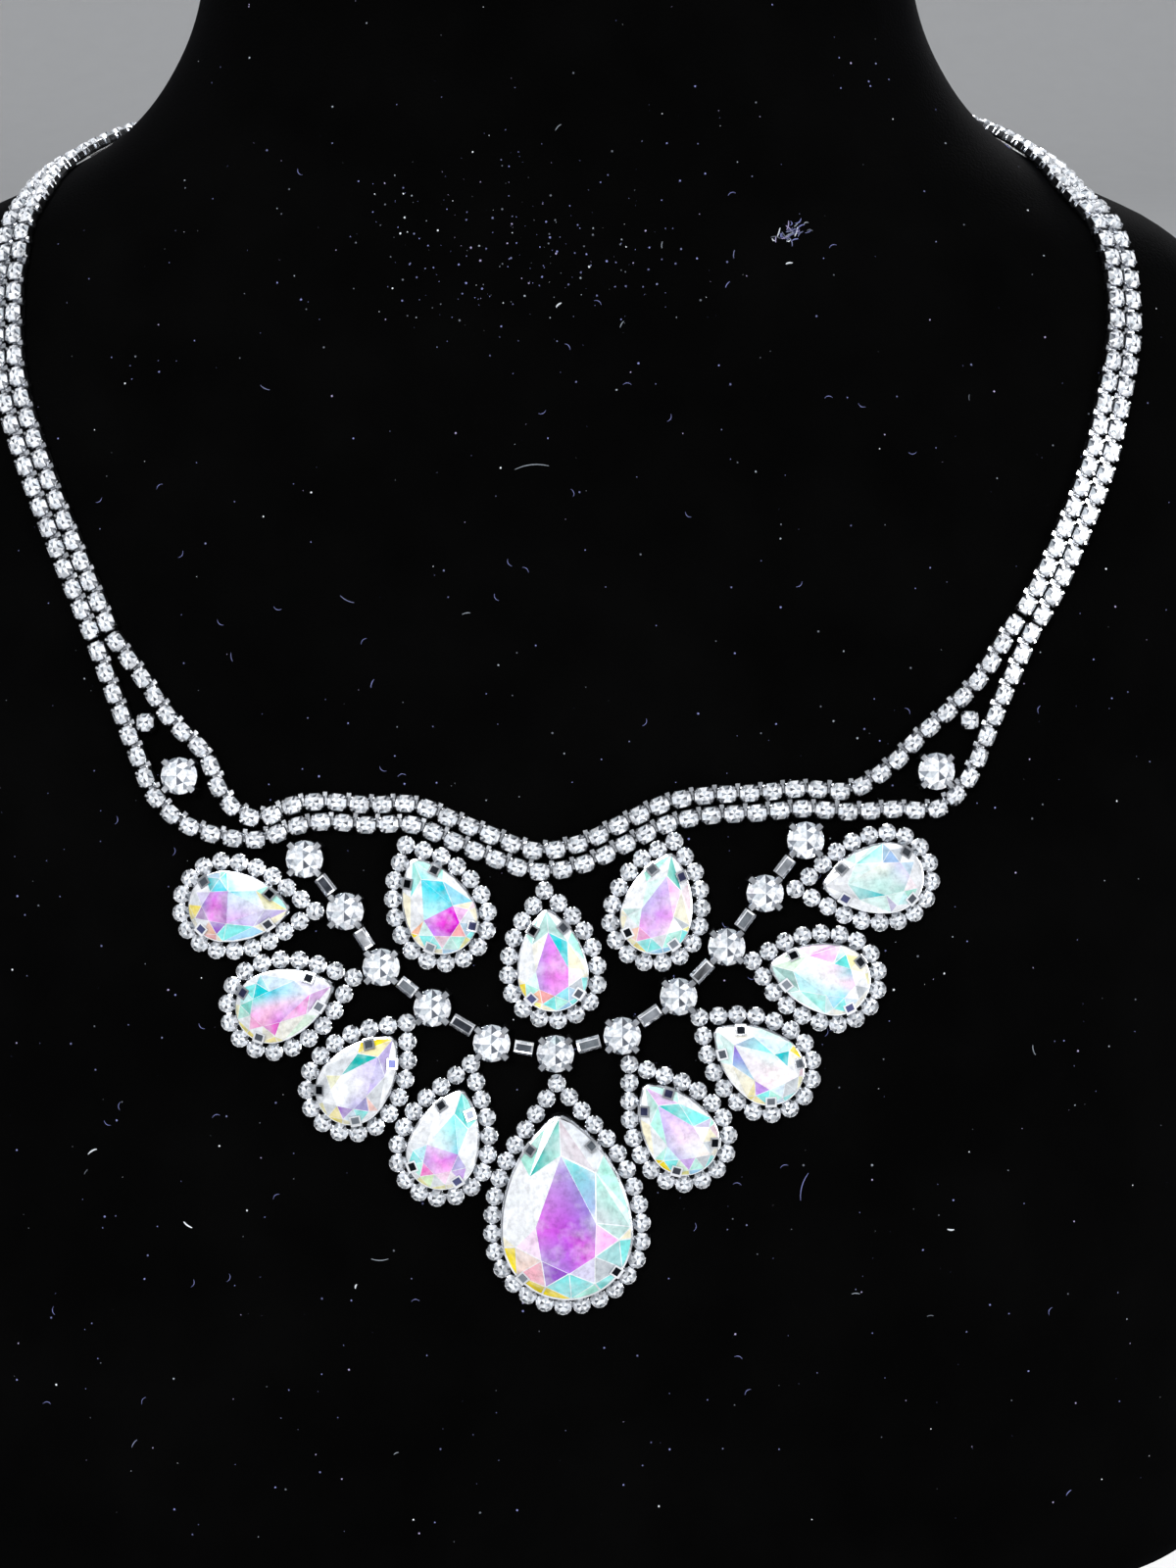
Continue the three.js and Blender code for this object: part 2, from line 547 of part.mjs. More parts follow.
// A plain plate with cut corners that closes both rows behind the neck.
function clasp() {
  const half = CLASP.length / 2;
  const wide = ROW_PITCH / 2 + BAND_TUBE.diameter / 2;
  const c = CLASP.corner;
  const corners = [[c - half, -wide], [half - c, -wide], [half, c - wide], [half, wide - c],
    [half - c, wide], [c - half, wide], [-half, wide - c], [-half, c - wide]];
  const shape = new THREE.Shape(corners.map(([x, y]) => new THREE.Vector2(x, y)));
  const plate = new THREE.ExtrudeGeometry(shape, { depth: CLASP.thick, bevelEnabled: false });
  return seat(named('clasp', plate, FINISH.silver), onBust(BAND_LEFT.at(-1)), 0);
}

// A single small stone in its cup, beside the upper edge.
function sideStone({ name, out, up }) {
  const scale = SIDE_STONE_RADIUS / CUP.radius;
  const girdle = CUP.setting * scale;
  const table = (CUP.setting + CUP.crown) * scale;
  const flat = {
    point: new THREE.Vector3(),
    ahead: new THREE.Vector3(1, 0, 0),
    side: new THREE.Vector3(0, 1, 0),
    normal: new THREE.Vector3(0, 0, 1),
  };
  const rings = [cupRing(flat, SIDE_STONE_RADIUS, 0), cupRing(flat, SIDE_STONE_RADIUS, girdle),
    cupRing(flat, SIDE_STONE_RADIUS * CUP.tableShare, table)];
  return seat(named(name, stack(rings), FINISH.clear), onChest({ out, up }), 0);
}

const necklace = new THREE.Group();
const pears = [...OUTER_PEARS.map(placedPear), ...INNER_PEARS];
necklace.add(...pears.map(pearStone), ...pears.map(halo));
necklace.add(...ARC_ROUNDS.map(roundStone), ...SIDE_ROUNDS.map(roundStone));
necklace.add(...ARC_ROUNDS.slice(1).map((to, i) => bar(ARC_ROUNDS[i], to, `bar_${i + 1}`)));
necklace.add(...SIDE_STONES.map(sideStone));
necklace.add(edgeChain('edge_chain_inner', EDGE_INNER), edgeChain('edge_chain_outer', EDGE_OUTER));
const bandLeft = [betweenRows(EDGE_INNER[0], EDGE_OUTER[0]), ...BAND_LEFT];
const bandRight = [betweenRows(EDGE_INNER.at(-1), EDGE_OUTER.at(-1)), ...BAND_RIGHT];
necklace.add(bandTube('band_left_inner', bandLeft, -1, ROW_PITCH / 2));
necklace.add(bandTube('band_left_outer', bandLeft, -1, -ROW_PITCH / 2));
necklace.add(bandTube('band_right_inner', bandRight, 1, ROW_PITCH / 2));
necklace.add(bandTube('band_right_outer', bandRight, 1, -ROW_PITCH / 2));
necklace.add(clasp());

const whole = new THREE.Group();
whole.add(bust(), necklace);
export default whole;
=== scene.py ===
"""The looks of a bib necklace of cut stones on a black velvet neck bust.

Places and sizes are in millimetres, as named values, and turn into metres where a mesh is made.
The front faces -Y and the bust stands on its flat base at z = 0.
"""

import json
import math

import bpy
import numpy as np
from mathutils import Matrix, Vector

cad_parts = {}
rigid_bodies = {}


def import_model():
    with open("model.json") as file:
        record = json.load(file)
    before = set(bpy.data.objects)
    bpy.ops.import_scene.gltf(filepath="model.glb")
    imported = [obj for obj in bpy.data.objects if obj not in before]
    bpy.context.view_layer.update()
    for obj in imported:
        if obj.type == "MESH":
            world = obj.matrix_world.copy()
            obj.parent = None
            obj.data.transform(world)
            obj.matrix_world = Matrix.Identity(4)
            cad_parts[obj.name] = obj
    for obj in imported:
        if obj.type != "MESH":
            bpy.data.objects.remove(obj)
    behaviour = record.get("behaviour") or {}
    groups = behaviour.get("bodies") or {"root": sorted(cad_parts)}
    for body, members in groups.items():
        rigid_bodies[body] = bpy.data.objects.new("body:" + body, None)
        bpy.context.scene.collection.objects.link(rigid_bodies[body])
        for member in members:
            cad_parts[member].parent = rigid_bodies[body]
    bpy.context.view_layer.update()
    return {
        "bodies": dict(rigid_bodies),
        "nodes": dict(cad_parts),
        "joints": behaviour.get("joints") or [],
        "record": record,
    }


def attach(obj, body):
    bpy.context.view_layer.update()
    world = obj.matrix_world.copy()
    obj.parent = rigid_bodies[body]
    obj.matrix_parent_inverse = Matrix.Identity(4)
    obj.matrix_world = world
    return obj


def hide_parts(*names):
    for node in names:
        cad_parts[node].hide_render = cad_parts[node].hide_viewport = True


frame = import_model()

MM = 0.001
GAP = 0.3
BODY = "root"

# Bust: overall sizes, and its level sections as shares of them.
BUST_HEIGHT = 228.0
BUST_WIDTH = 200.0
BUST_DEPTH = 136.0
SECTION_COLUMNS = ("up", "wide", "front", "mid", "back", "square")
BUST_SECTIONS = np.array([
    (0.000, 1.000, -1.000, 0.10, 1.00, 4.40),
    (0.200, 1.000, -0.756, 0.15, 1.00, 4.00),
    (0.420, 1.000, -0.487, 0.22, 1.00, 3.35),
    (0.580, 1.000, -0.292, 0.30, 1.00, 3.10),
    (0.680, 0.990, -0.170, 0.35, 1.00, 2.90),
    (0.725, 0.950, -0.112, 0.38, 0.99, 2.70),
    (0.754, 0.870, -0.080, 0.40, 0.98, 2.50),
    (0.776, 0.760, -0.062, 0.42, 0.96, 2.35),
    (0.806, 0.635, -0.050, 0.43, 0.93, 2.20),
    (0.850, 0.550, -0.040, 0.44, 0.91, 2.10),
    (0.900, 0.508, -0.035, 0.44, 0.90, 2.00),
    (1.000, 0.495, -0.035, 0.44, 0.90, 2.00),
])
BIB_DATUM = 100.0

# Pear cut stones: width and length of the setting, height of the girdle and of the crown, and
# where the chain round it leaves the outline for its point, in degrees from the tip.
PEAR = {"width": 9.6, "length": 14.0, "setting": 2.4, "crown": 1.7, "leaves_at": 24}
MAIN_PEAR = {"width": 17.6, "length": 25.0, "setting": 3.6, "crown": 2.8, "leaves_at": 20}

# The pears that point at a round stone: the stone they meet, the direction of the tip in
# degrees, how far the stone lies aside, and how far the chain runs past the tip.
OUTER_PEARS = {
    "outer_left": ("round_2", -3, 0.45, 3.0),
    "second_left": ("round_3", 20, 0.2, 2.5),
    "third_left": ("round_4", 50, -1.3, 2.3),
    "fourth_left": ("round_5", 72, -1.8, 3.3),
    "main": ("round_6", 94, -0.1, 3.6),
    "fourth_right": ("round_7", 126, -1.5, 3.1),
    "third_right": ("round_8", 143, -0.6, 2.3),
    "second_right": ("round_9", 167, -1.2, 2.0),
    "outer_right": ("round_10", 187, -0.2, 3.3),
}
# The pears above the arc: out, up, direction of the tip, reach of the chain.
INNER_PEARS = {
    "inner_left": (-15.0, -14.0, 117, 1.8),
    "inner_middle": (-0.3, -21.6, 96, 2.2),
    "inner_right": (13.3, -14.0, 76, 1.4),
}

# Round stones, by their place on the bib.
ROUND = {"radius": 2.75, "setting": 2.0, "crown": 1.2}
ROUNDS = {
    "round_1": (-33.4, -6.2), "round_2": (-28.0, -13.1), "round_3": (-23.2, -20.5),
    "round_4": (-16.4, -25.9), "round_5": (-8.5, -30.6), "round_6": (0.0, -32.0),
    "round_7": (8.9, -29.6), "round_8": (16.4, -24.4), "round_9": (22.8, -17.8),
    "round_10": (27.9, -10.7), "round_11": (33.3, -3.7),
    "round_side_left": (-50.2, 4.5), "round_side_right": (50.8, 5.1),
}
SIDE_STONES = {"stone_side_left": (-55.0, 11.5), "stone_side_right": (55.5, 11.8)}

# Chains of small stones: sizes of a cup and how they follow each other.
HALO = {"gap": 0.36, "wide": 1.9, "stone": 2.52, "pitch": 2.52, "inset": 0.1}
CUP = {"radius": 1.24, "along": 1.4, "across": 1.24, "corner": 0.58, "setting": 1.3, "crown": 0.65}
CUP_PITCH = 3.05
ROW_PITCH = 2.6
CLASP_LENGTH = 20.0

# Steps of the smooth routes between one of their points and the next.
EDGE_STEPS = 16
BAND_STEPS = 24

# The routes of the two edge rows (out, up) and of the bands (degrees around, share up).
EDGE_INNER = [
    (-59.1, 22.2), (-54.9, 16.7), (-51.3, 11.7), (-46.9, 7.5), (-45.0, 2.9), (-42.4, -0.1),
    (-39.3, -0.9), (-35.4, 0.9), (-31.3, 1.5), (-24.9, 1.1), (-19.0, 1.2), (-13.5, -0.9),
    (-7.4, -3.4), (-2.6, -5.0), (3.3, -4.0), (9.2, -1.2), (15.1, 1.5), (20.5, 2.4),
    (27.0, 2.7), (33.3, 3.2), (39.5, 2.9), (44.9, 6.1), (48.9, 10.0), (52.9, 13.4),
    (57.0, 17.5), (61.6, 24.4),
]
EDGE_OUTER = [
    (-61.6, 20.8), (-58.5, 12.8), (-56.0, 6.6), (-53.8, 1.7), (-50.0, -1.7), (-45.8, -3.2),
    (-39.4, -3.7), (-35.2, -2.0), (-30.8, -1.2), (-25.0, -1.6), (-19.3, -1.5), (-13.9, -3.6),
    (-7.8, -6.2), (-2.1, -7.8), (4.0, -6.7), (9.8, -3.9), (15.3, -1.3), (20.8, -0.3),
    (27.0, 0.0), (33.1, 0.5), (39.2, 0.0), (45.6, 0.2), (51.2, 0.1), (55.2, 3.7),
    (57.8, 9.4), (60.4, 15.4), (64.0, 23.1),
]
BAND_LEFT = [
    (29.0, 0.553), (33.1, 0.594), (37.6, 0.639), (40.1, 0.664), (43.6, 0.703), (48.1, 0.732),
    (54.4, 0.751), (62.4, 0.765), (75.1, 0.779), (86.0, 0.788), (98.0, 0.796), (122.0, 0.806),
    (150.0, 0.812), (180.0, 0.814),
]
BAND_RIGHT = [
    (31.4, 0.557), (34.2, 0.581), (39.3, 0.629), (42.3, 0.665), (45.4, 0.695), (49.0, 0.722),
    (54.4, 0.744), (61.0, 0.761), (69.0, 0.775), (78.0, 0.785), (88.0, 0.793), (98.0, 0.799),
    (122.0, 0.808), (150.0, 0.812), (180.0, 0.814),
]

# Tints, as display colours. On the stones' facets they are the coating's colours and painted reflections;
# on the darker metal, painted reflections and shade; on the lint, its own colours.
TINTS = {
    "white": (0.97, 0.98, 1.00), "pearl": (0.88, 0.90, 0.93), "silver": (0.74, 0.77, 0.80),
    "grey": (0.56, 0.59, 0.63), "ash": (0.36, 0.38, 0.42), "dark": (0.09, 0.10, 0.12),
    "mint": (0.70, 0.96, 0.90), "aqua": (0.52, 0.94, 0.93), "cyan": (0.00, 0.82, 0.90),
    "teal": (0.00, 0.70, 0.68), "sky": (0.66, 0.86, 0.99), "slate": (0.48, 0.50, 0.72),
    "lavender": (0.80, 0.74, 0.95), "orchid": (0.80, 0.55, 0.90), "violet": (0.58, 0.36, 0.86),
    "purple": (0.52, 0.16, 0.62), "magenta": (0.86, 0.04, 0.84), "fuchsia": (0.94, 0.24, 0.82),
    "pink": (0.98, 0.70, 0.92), "rose": (0.88, 0.52, 0.68), "blush": (0.97, 0.86, 0.90),
    "peach": (0.98, 0.74, 0.60), "cream": (0.99, 0.96, 0.84), "lemon": (0.96, 0.94, 0.50),
    "yellow": (1.00, 0.90, 0.02),
}


def linear(tint):
    """A display colour as a linear one, with full alpha."""
    return (*[c / 12.92 if c < 0.04045 else ((c + 0.055) / 1.055) ** 2.4 for c in tint], 1.0)


def shade(tint):
    """The linear colour of a tint, or of an even mixture of tints joined by a plus sign."""
    return tuple(np.mean([linear(TINTS[name]) for name in tint.split("+")], axis=0))


def graded(tint, count):
    """Tints for the corners of a face: a>b runs from one to the other."""
    first, _, last = tint.partition(">")
    if not last:
        return [first] * count
    return [first, *[f"{first}+{last}"] * (count - 2), last]


# Shape of the bust

def eased(t, first, first_slope, last, last_slope):
    """A smooth curve from one value to another, with its slopes at both, t running from 0 to 1."""
    return ((2 * t**3 - 3 * t**2 + 1) * first + (t**3 - 2 * t**2 + t) * first_slope
            + (3 * t**2 - 2 * t**3) * last + (t**3 - t**2) * last_slope)


def section(z):
    """The sizes of the bust's sections at heights z, on smooth curves through the table."""
    rows = BUST_SECTIONS
    up = np.clip(np.asarray(z, float) / BUST_HEIGHT, 0, 1)
    last = len(rows) - 1
    i = np.clip(np.searchsorted(rows[:, 0], up, side="left") - 1, 0, last - 1)
    span = rows[i + 1, 0] - rows[i, 0]
    t = (up - rows[i, 0]) / span

    def slope(j, key):
        a, b = np.maximum(j - 1, 0), np.minimum(j + 1, last)
        return (rows[b, key] - rows[a, key]) / (rows[b, 0] - rows[a, 0])

    found = {}
    for key, name in enumerate(SECTION_COLUMNS):
        found[name] = eased(t, rows[i, key], span * slope(i, key),
                            rows[i + 1, key], span * slope(i + 1, key))
    half_depth = BUST_DEPTH / 2
    return (found["wide"] * BUST_WIDTH / 2, found["front"] * half_depth,
            found["mid"] * half_depth, found["back"] * half_depth, found["square"])


def bust_point(around, z):
    """Points of the bust's surface, by angle from the front in radians and height."""
    around, z = np.broadcast_arrays(np.asarray(around, float), np.asarray(z, float))
    half, front, mid, back, power = section(z)

    def share(value):
        return np.sign(value) * np.abs(value) ** (2 / power)

    deep = np.where(np.cos(around) > 0, mid - front, back - mid)
    x = half * share(np.sin(around))
    y = mid - deep * share(np.cos(around))
    return np.stack([x, y, z], -1)


def chest_point(x, z):
    """Points of the front of the bust, by distance from the middle and height."""
    x, z = np.broadcast_arrays(np.asarray(x, float), np.asarray(z, float))
    half, front, mid, _, power = section(z)
    rest = 1 - np.minimum(np.abs(x) / half, 1) ** power
    return np.stack([x, mid - (mid - front) * rest ** (1 / power), z], -1)


def unit(vectors):
    """Vectors of the same directions, of length one."""
    return vectors / np.linalg.norm(vectors, axis=-1, keepdims=True)


def outward(surface, a, b, step_a, step_b):
    """Directions square to a surface, from its points at small steps to both sides."""
    along_a = surface(a + step_a, b) - surface(a - step_a, b)
    along_b = surface(a, b + step_b) - surface(a, b - step_b)
    return unit(np.cross(along_a, along_b))


CHEST_ROW = 3
CHEST_SLOPE = math.atan2(
    (BUST_SECTIONS[CHEST_ROW, 2] - BUST_SECTIONS[0, 2]) * BUST_DEPTH / 2,
    (BUST_SECTIONS[CHEST_ROW, 0] - BUST_SECTIONS[0, 0]) * BUST_HEIGHT,
)


def on_chest(places):
    """Points and outward directions for rows of (out, up) on the chest."""
    out, up = np.asarray(places, float).T
    z = BIB_DATUM + up * math.cos(CHEST_SLOPE)
    return chest_point(out, z), outward(chest_point, out, z, 1, 1)


def on_bust(places):
    """Points and outward directions for rows of (degrees around, share up)."""
    around, up = np.asarray(places, float).T
    angle, z = np.radians(around), up * BUST_HEIGHT
    return bust_point(angle, z), outward(bust_point, angle, z, 0.02, 1)


def seats(points, normals, turns, lift=GAP):
    """Frames on the bust: origins, and axes as columns ahead, side and normal."""
    points, normals = np.atleast_2d(points), np.atleast_2d(normals)
    turns = np.broadcast_to(np.radians(turns), len(points))[:, None]
    ahead = unit(np.array([1.0, 0, 0]) - normals[:, :1] * normals)
    side = np.cross(normals, ahead)
    ahead = ahead * np.cos(turns) + side * np.sin(turns)
    return points + normals * lift, np.stack([ahead, np.cross(normals, ahead), normals], -1)


# Routes

def smooth(points, per_row):
    """A centripetal curve through points, with per_row steps between one and the next."""
    p = np.asarray(points, float)
    p = np.vstack([2 * p[0] - p[1], p, 2 * p[-1] - p[-2]])
    t = np.arange(per_row)[:, None] / per_row
    found = []
    for i in range(1, len(p) - 2):
        p0, p1, p2, p3 = p[i - 1:i + 3]
        d0, d1, d2 = (np.linalg.norm(b - a) ** 0.5 for a, b in ((p0, p1), (p1, p2), (p2, p3)))
        m1 = ((p1 - p0) / d0 - (p2 - p0) / (d0 + d1) + (p2 - p1) / d1) * d1
        m2 = ((p2 - p1) / d1 - (p3 - p1) / (d1 + d2) + (p3 - p2) / d2) * d1
        found.append(eased(t, p1, m1, p2, m2))
    return np.vstack([*found, p[-2:-1]])


def along(points, normals, first, last, count):
    """count frames at equal steps from first to last, in millimetres along a route."""
    steps = np.linalg.norm(np.diff(points, axis=0), axis=1)
    run = np.concatenate([[0], np.cumsum(steps)])
    at = np.linspace(first, last, count)

    def pick(rows, where):
        return np.stack([np.interp(where, run, rows[:, k]) for k in range(3)], -1)

    point, normal = pick(points, at), unit(pick(normals, at))
    ahead = pick(points, at + 0.5) - pick(points, at - 0.5)
    ahead = unit(ahead - np.sum(ahead * normal, -1, keepdims=True) * normal)
    return point, np.stack([ahead, np.cross(normal, ahead), normal], -1)


def length_of(points):
    """The length of a route in millimetres."""
    return float(np.linalg.norm(np.diff(points, axis=0), axis=1).sum())


# Meshes from arrays

# The number of the metal in the materials of a piece of stones, and the faces of a box.
IN_METAL = 1
BOX_FACES = ((3, 2, 1, 0), (4, 5, 6, 7), (0, 1, 5, 4), (1, 2, 6, 5), (2, 3, 7, 6), (3, 0, 4, 7))


class Shape:
    """Points, faces, each face's material number and each corner's tint, built up ring by ring."""

    def __init__(self):
        self.points = []
        self.faces = []
        self.materials = []
        self.tints = []

    def add(self, points):
        first = len(self.points)
        self.points.extend([tuple(map(float, p)) for p in points])
        return list(range(first, len(self.points)))

    def face(self, corners, tint="white", material=0):
        """Adds a face of one tint, a graded one, or one for each corner in a list."""
        names = tint if isinstance(tint, list) else graded(tint, len(corners))
        self.faces.append(list(corners))
        self.materials.append(material)
        self.tints.extend(shade(name) for name in names)

    def band(self, low, high, tint="white", material=0):
        """Faces between two rings of as many points, the upper one second."""
        count = len(low)
        for i in range(count):
            j = (i + 1) % count
            self.face([low[i], low[j], high[j], high[i]], tint, material)

    def cup(self, rings):
        """A metal wall through rings from the lowest up, closed below."""
        self.face(rings[0][::-1], "white", IN_METAL)
        for low, high in zip(rings, rings[1:]):
            self.band(low, high, "white", IN_METAL)

    def box(self, low, high, tint="white", move=None):
        """A metal box between two corners, with its points moved by a function."""
        (x, y, bottom), (far_x, far_y, top) = low, high
        sides = ((x, y), (far_x, y), (far_x, far_y), (x, far_y))
        corners = [(*side, z) for z in (bottom, top) for side in sides]
        added = self.add([move(corner) if move else corner for corner in corners])
        for face in BOX_FACES:
            self.face([added[i] for i in face], tint, IN_METAL)


class Joined:
    """One mesh made of many copies of shapes."""

    def __init__(self):
        self.points, self.loops, self.sizes, self.materials, self.tints = [], [], [], [], []
        self.count = 0

    def stamp(self, shape, origins, axes, vary=None):
        """Adds a copy of the shape for each frame. vary gives the painted sparkle: a brightness for each
        facet of each copy.
        """
        local = np.array(shape.points)
        sizes = np.array([len(f) for f in shape.faces])
        loops = np.concatenate([np.array(f) for f in shape.faces])
        tints = np.array(shape.tints)
        copies = len(origins)
        placed = np.einsum("kij,vj->kvi", axes, local) + origins[:, None, :]
        self.points.append(placed.reshape(-1, 3))
        offsets = self.count + np.arange(copies) * len(local)
        self.loops.append((loops[None, :] + offsets[:, None]).ravel())
        self.sizes.append(np.tile(sizes, copies))
        self.materials.append(np.tile(np.array(shape.materials), copies))
        coloured = np.tile(tints, (copies, 1, 1))
        if vary is not None:
            each = np.repeat(vary(copies, len(sizes)), sizes, axis=1)
            coloured[:, :, :3] *= each if each.ndim == 3 else each[:, :, None]
        self.tints.append(coloured.reshape(-1, 4))
        self.count += copies * len(local)

    def make(self, name, materials, smooth_faces=False):
        points = np.concatenate(self.points) * MM
        loops = np.concatenate(self.loops)
        sizes = np.concatenate(self.sizes)
        mesh = bpy.data.meshes.new(name)
        mesh.vertices.add(len(points))
        mesh.vertices.foreach_set("co", points.astype(np.float32).ravel())
        mesh.loops.add(len(loops))
        mesh.loops.foreach_set("vertex_index", loops.astype(np.int32))
        mesh.polygons.add(len(sizes))
        starts = np.concatenate([[0], np.cumsum(sizes)[:-1]])
        mesh.polygons.foreach_set("loop_start", starts.astype(np.int32))
        mesh.polygons.foreach_set("loop_total", sizes.astype(np.int32))
        for material in materials:
            mesh.materials.append(material)
        mesh.polygons.foreach_set("material_index", np.concatenate(self.materials).astype(np.int32))
        mesh.polygons.foreach_set("use_smooth", np.full(len(sizes), smooth_faces))
        mesh.update(calc_edges=True)
        colours = np.concatenate(self.tints)
        layer = mesh.color_attributes.new("tint", "FLOAT_COLOR", "CORNER")
        layer.data.foreach_set("color", colours.astype(np.float32).ravel())
        mesh.validate()
        piece = bpy.data.objects.new(name, mesh)
        bpy.context.scene.collection.objects.link(piece)
        return piece


def ring(radius, z, count, start=0.0):
    """Points of a level circle, start being a share of a step."""
    angles = (np.arange(count) + start) / count * 2 * math.pi
    return [(radius * math.cos(a), radius * math.sin(a), z) for a in angles]


def finished(piece, slot, *nodes):
    """Gives a piece its body and hides the nodes that it stands for. Its slot is not used."""
    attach(piece, BODY)
    if nodes:
        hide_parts(*nodes)
    return piece


# Materials

class Finish:
    """A node material in the making, with constants on its shader's own sockets."""

    def __init__(self, name, settings):
        self.material = bpy.data.materials.new(name)
        self.material.use_nodes = True
        self.nodes = self.material.node_tree.nodes
        self.shader = self.nodes["Principled BSDF"]
        for socket, value in settings.items():
            self.shader.inputs[socket].default_value = value

    def wire(self, source, node, socket):
        self.material.node_tree.links.new(source, node.inputs[socket])

    def texture(self, kind, output, scale, **sockets):
        """A texture on object coordinates, with its scale per metre."""
        coordinates = self.nodes.new("ShaderNodeTexCoord")
        texture = self.nodes.new(f"ShaderNodeTex{kind}")
        for socket, value in {"Scale": scale, **sockets}.items():
            texture.inputs[socket].default_value = value
        self.wire(coordinates.outputs["Object"], texture, "Vector")
        return texture.outputs[output]

    def noise(self, scale, **sockets):
        return self.texture("Noise", "Fac", scale, **sockets)

    def levels(self, source, *stops):
        """A colour ramp after a value, with (place, grey level) stops."""
        node = self.nodes.new("ShaderNodeValToRGB")
        elements = node.color_ramp.elements
        while len(elements) < len(stops):
            elements.new(0.5)
        for element, (place, level) in zip(elements, stops):
            element.position = place
            element.color = (level, level, level, 1)
        self.wire(source, node, "Fac")
        return node.outputs["Color"]

    def mixed(self, kind, factor, a, b):
        """A colour mixture. Each of factor, a and b is a socket or a constant."""
        mix = self.nodes.new("ShaderNodeMix")
        mix.data_type = "RGBA"
        mix.blend_type = kind
        for name, type_name, value in (("Factor", "VALUE", factor), ("A", "RGBA", a), ("B", "RGBA", b)):
            socket = next(s for s in mix.inputs if s.name == name and s.type == type_name)
            if isinstance(value, (float, tuple)):
                socket.default_value = value
            else:
                self.material.node_tree.links.new(value, socket)
        return next(s for s in mix.outputs if s.type == "RGBA")

    def tint(self):
        """The tint of each facet."""
        node = self.nodes.new("ShaderNodeAttribute")
        node.attribute_name = "tint"
        return node.outputs["Color"]

    def done(self, colour, tinted=True):
        """The material, with its colour multiplied by each facet's tint if it is tinted."""
        if tinted:
            colour = self.mixed("MULTIPLY", 1.0, self.tint(), colour)
        self.wire(colour, self.shader, "Base Color")
        return self.material


def clear_crystal():
    """Clear foiled crystal: the tint of each facet, broken up by painted reflections of the facets behind
    it.
    """
    finish = Finish("clear_crystal", {"Metallic": 0.25, "Roughness": 0.16, "IOR": 1.6,
                                      "Coat Weight": 1.0, "Coat Roughness": 0.02})
    # Painted reflections: small cells of the facets behind, from full to darker.
    behind_reflections = finish.texture("Voronoi", "Distance", 2200.0)
    return finish.done(finish.levels(behind_reflections, (0.0, 1.0), (0.45, 0.95), (0.9, 0.6)))


def coated_crystal():
    """Coated crystal: the tint of each facet fades in clouds to a milky grey, with small
    specks of painted reflection from the facets behind."""
    finish = Finish("coated_crystal", {"Metallic": 0.1, "Roughness": 0.25, "IOR": 1.45,
                                       "Specular IOR Level": 0.3, "Coat Weight": 0.25,
                                       "Coat Roughness": 0.03})
    cloud = finish.levels(finish.noise(260.0, Detail=3.0, Roughness=0.6), (0.44, 0.0), (0.68, 0.5))
    milky = finish.mixed("MIX", cloud, finish.tint(), (0.72, 0.76, 0.80, 1.0))
    # Painted reflections: fine specks of the facets behind, which darken the colour.
    painted_specks = finish.noise(900.0, Detail=4.0, Roughness=0.7)
    levels = finish.levels(painted_specks, (0.32, 0.52), (0.5, 0.72), (0.7, 0.86))
    return finish.done(finish.mixed("MULTIPLY", 1.0, milky, levels), tinted=False)


def silver_metal(name, dark, bright, sharp, dull, tinted):
    """Bright plated metal, with fine wear in its gloss, from sharp to dull."""
    finish = Finish(name, {"Metallic": 1.0})
    wear = finish.noise(900.0, Detail=3.0)
    finish.wire(finish.levels(wear, (0.3, sharp), (0.7, dull)), finish.shader, "Roughness")
    return finish.done(finish.levels(wear, (0.3, dark), (0.7, bright)), tinted)


def black_velvet():
    """Black velvet: a deep pile that lightens a little where it is seen edge-on."""
    finish = Finish("black_velvet", {"Roughness": 0.95, "Specular IOR Level": 0.02,
                                     "Sheen Weight": 0.004, "Sheen Roughness": 0.4,
                                     "Sheen Tint": (0.55, 0.6, 0.9, 1)})
    bump = finish.nodes.new("ShaderNodeBump")
    bump.inputs["Strength"].default_value = 0.5
    bump.inputs["Distance"].default_value = 0.0003
    finish.wire(finish.noise(2600.0, Detail=2.0), bump, "Height")
    finish.wire(bump.outputs["Normal"], finish.shader, "Normal")
    cloud = finish.noise(60.0, Detail=4.0)
    return finish.done(finish.levels(cloud, (0.35, 0.0002), (0.7, 0.0007)), tinted=False)


def plain(name, level, roughness, tinted):
    """A dull surface with a faint unevenness."""
    finish = Finish(name, {"Roughness": roughness})
    return finish.done(finish.levels(finish.noise(40.0), (0.3, level * 0.98), (0.7, level)), tinted)


METAL = silver_metal("silver_metal", dark=0.72, bright=0.9, sharp=0.10, dull=0.24, tinted=True)
CLASP_METAL = silver_metal("clasp_metal", dark=0.78, bright=0.84, sharp=0.16, dull=0.20, tinted=False)
CLEAR = clear_crystal()
COATED = coated_crystal()
VELVET = black_velvet()
LINT = plain("lint", 0.8, 0.9, tinted=True)


# Small stones

# Painted reflections: the tints of the table and crown facets of a small clear stone, bright and darker in
# turn.
CLEAR_TABLE_REFLECTIONS = ("white", "pearl", "white", "grey", "white", "silver", "white", "ash")
CLEAR_CROWN_REFLECTIONS = ("white", "silver", "white", "pearl", "ash", "white", "pearl", "white")
# The width of a small stone's table as a share of the stone's, and how deep its girdle sits in
# the cup. In the painted sparkle, some facets of each copy, as a share, are dimmed, and whole copies
# differ by a spread.
TABLE_SHARE = 0.55
STONE_SINK = 0.06
DIM_SHARE = 0.16
COPY_SPREAD = 0.14


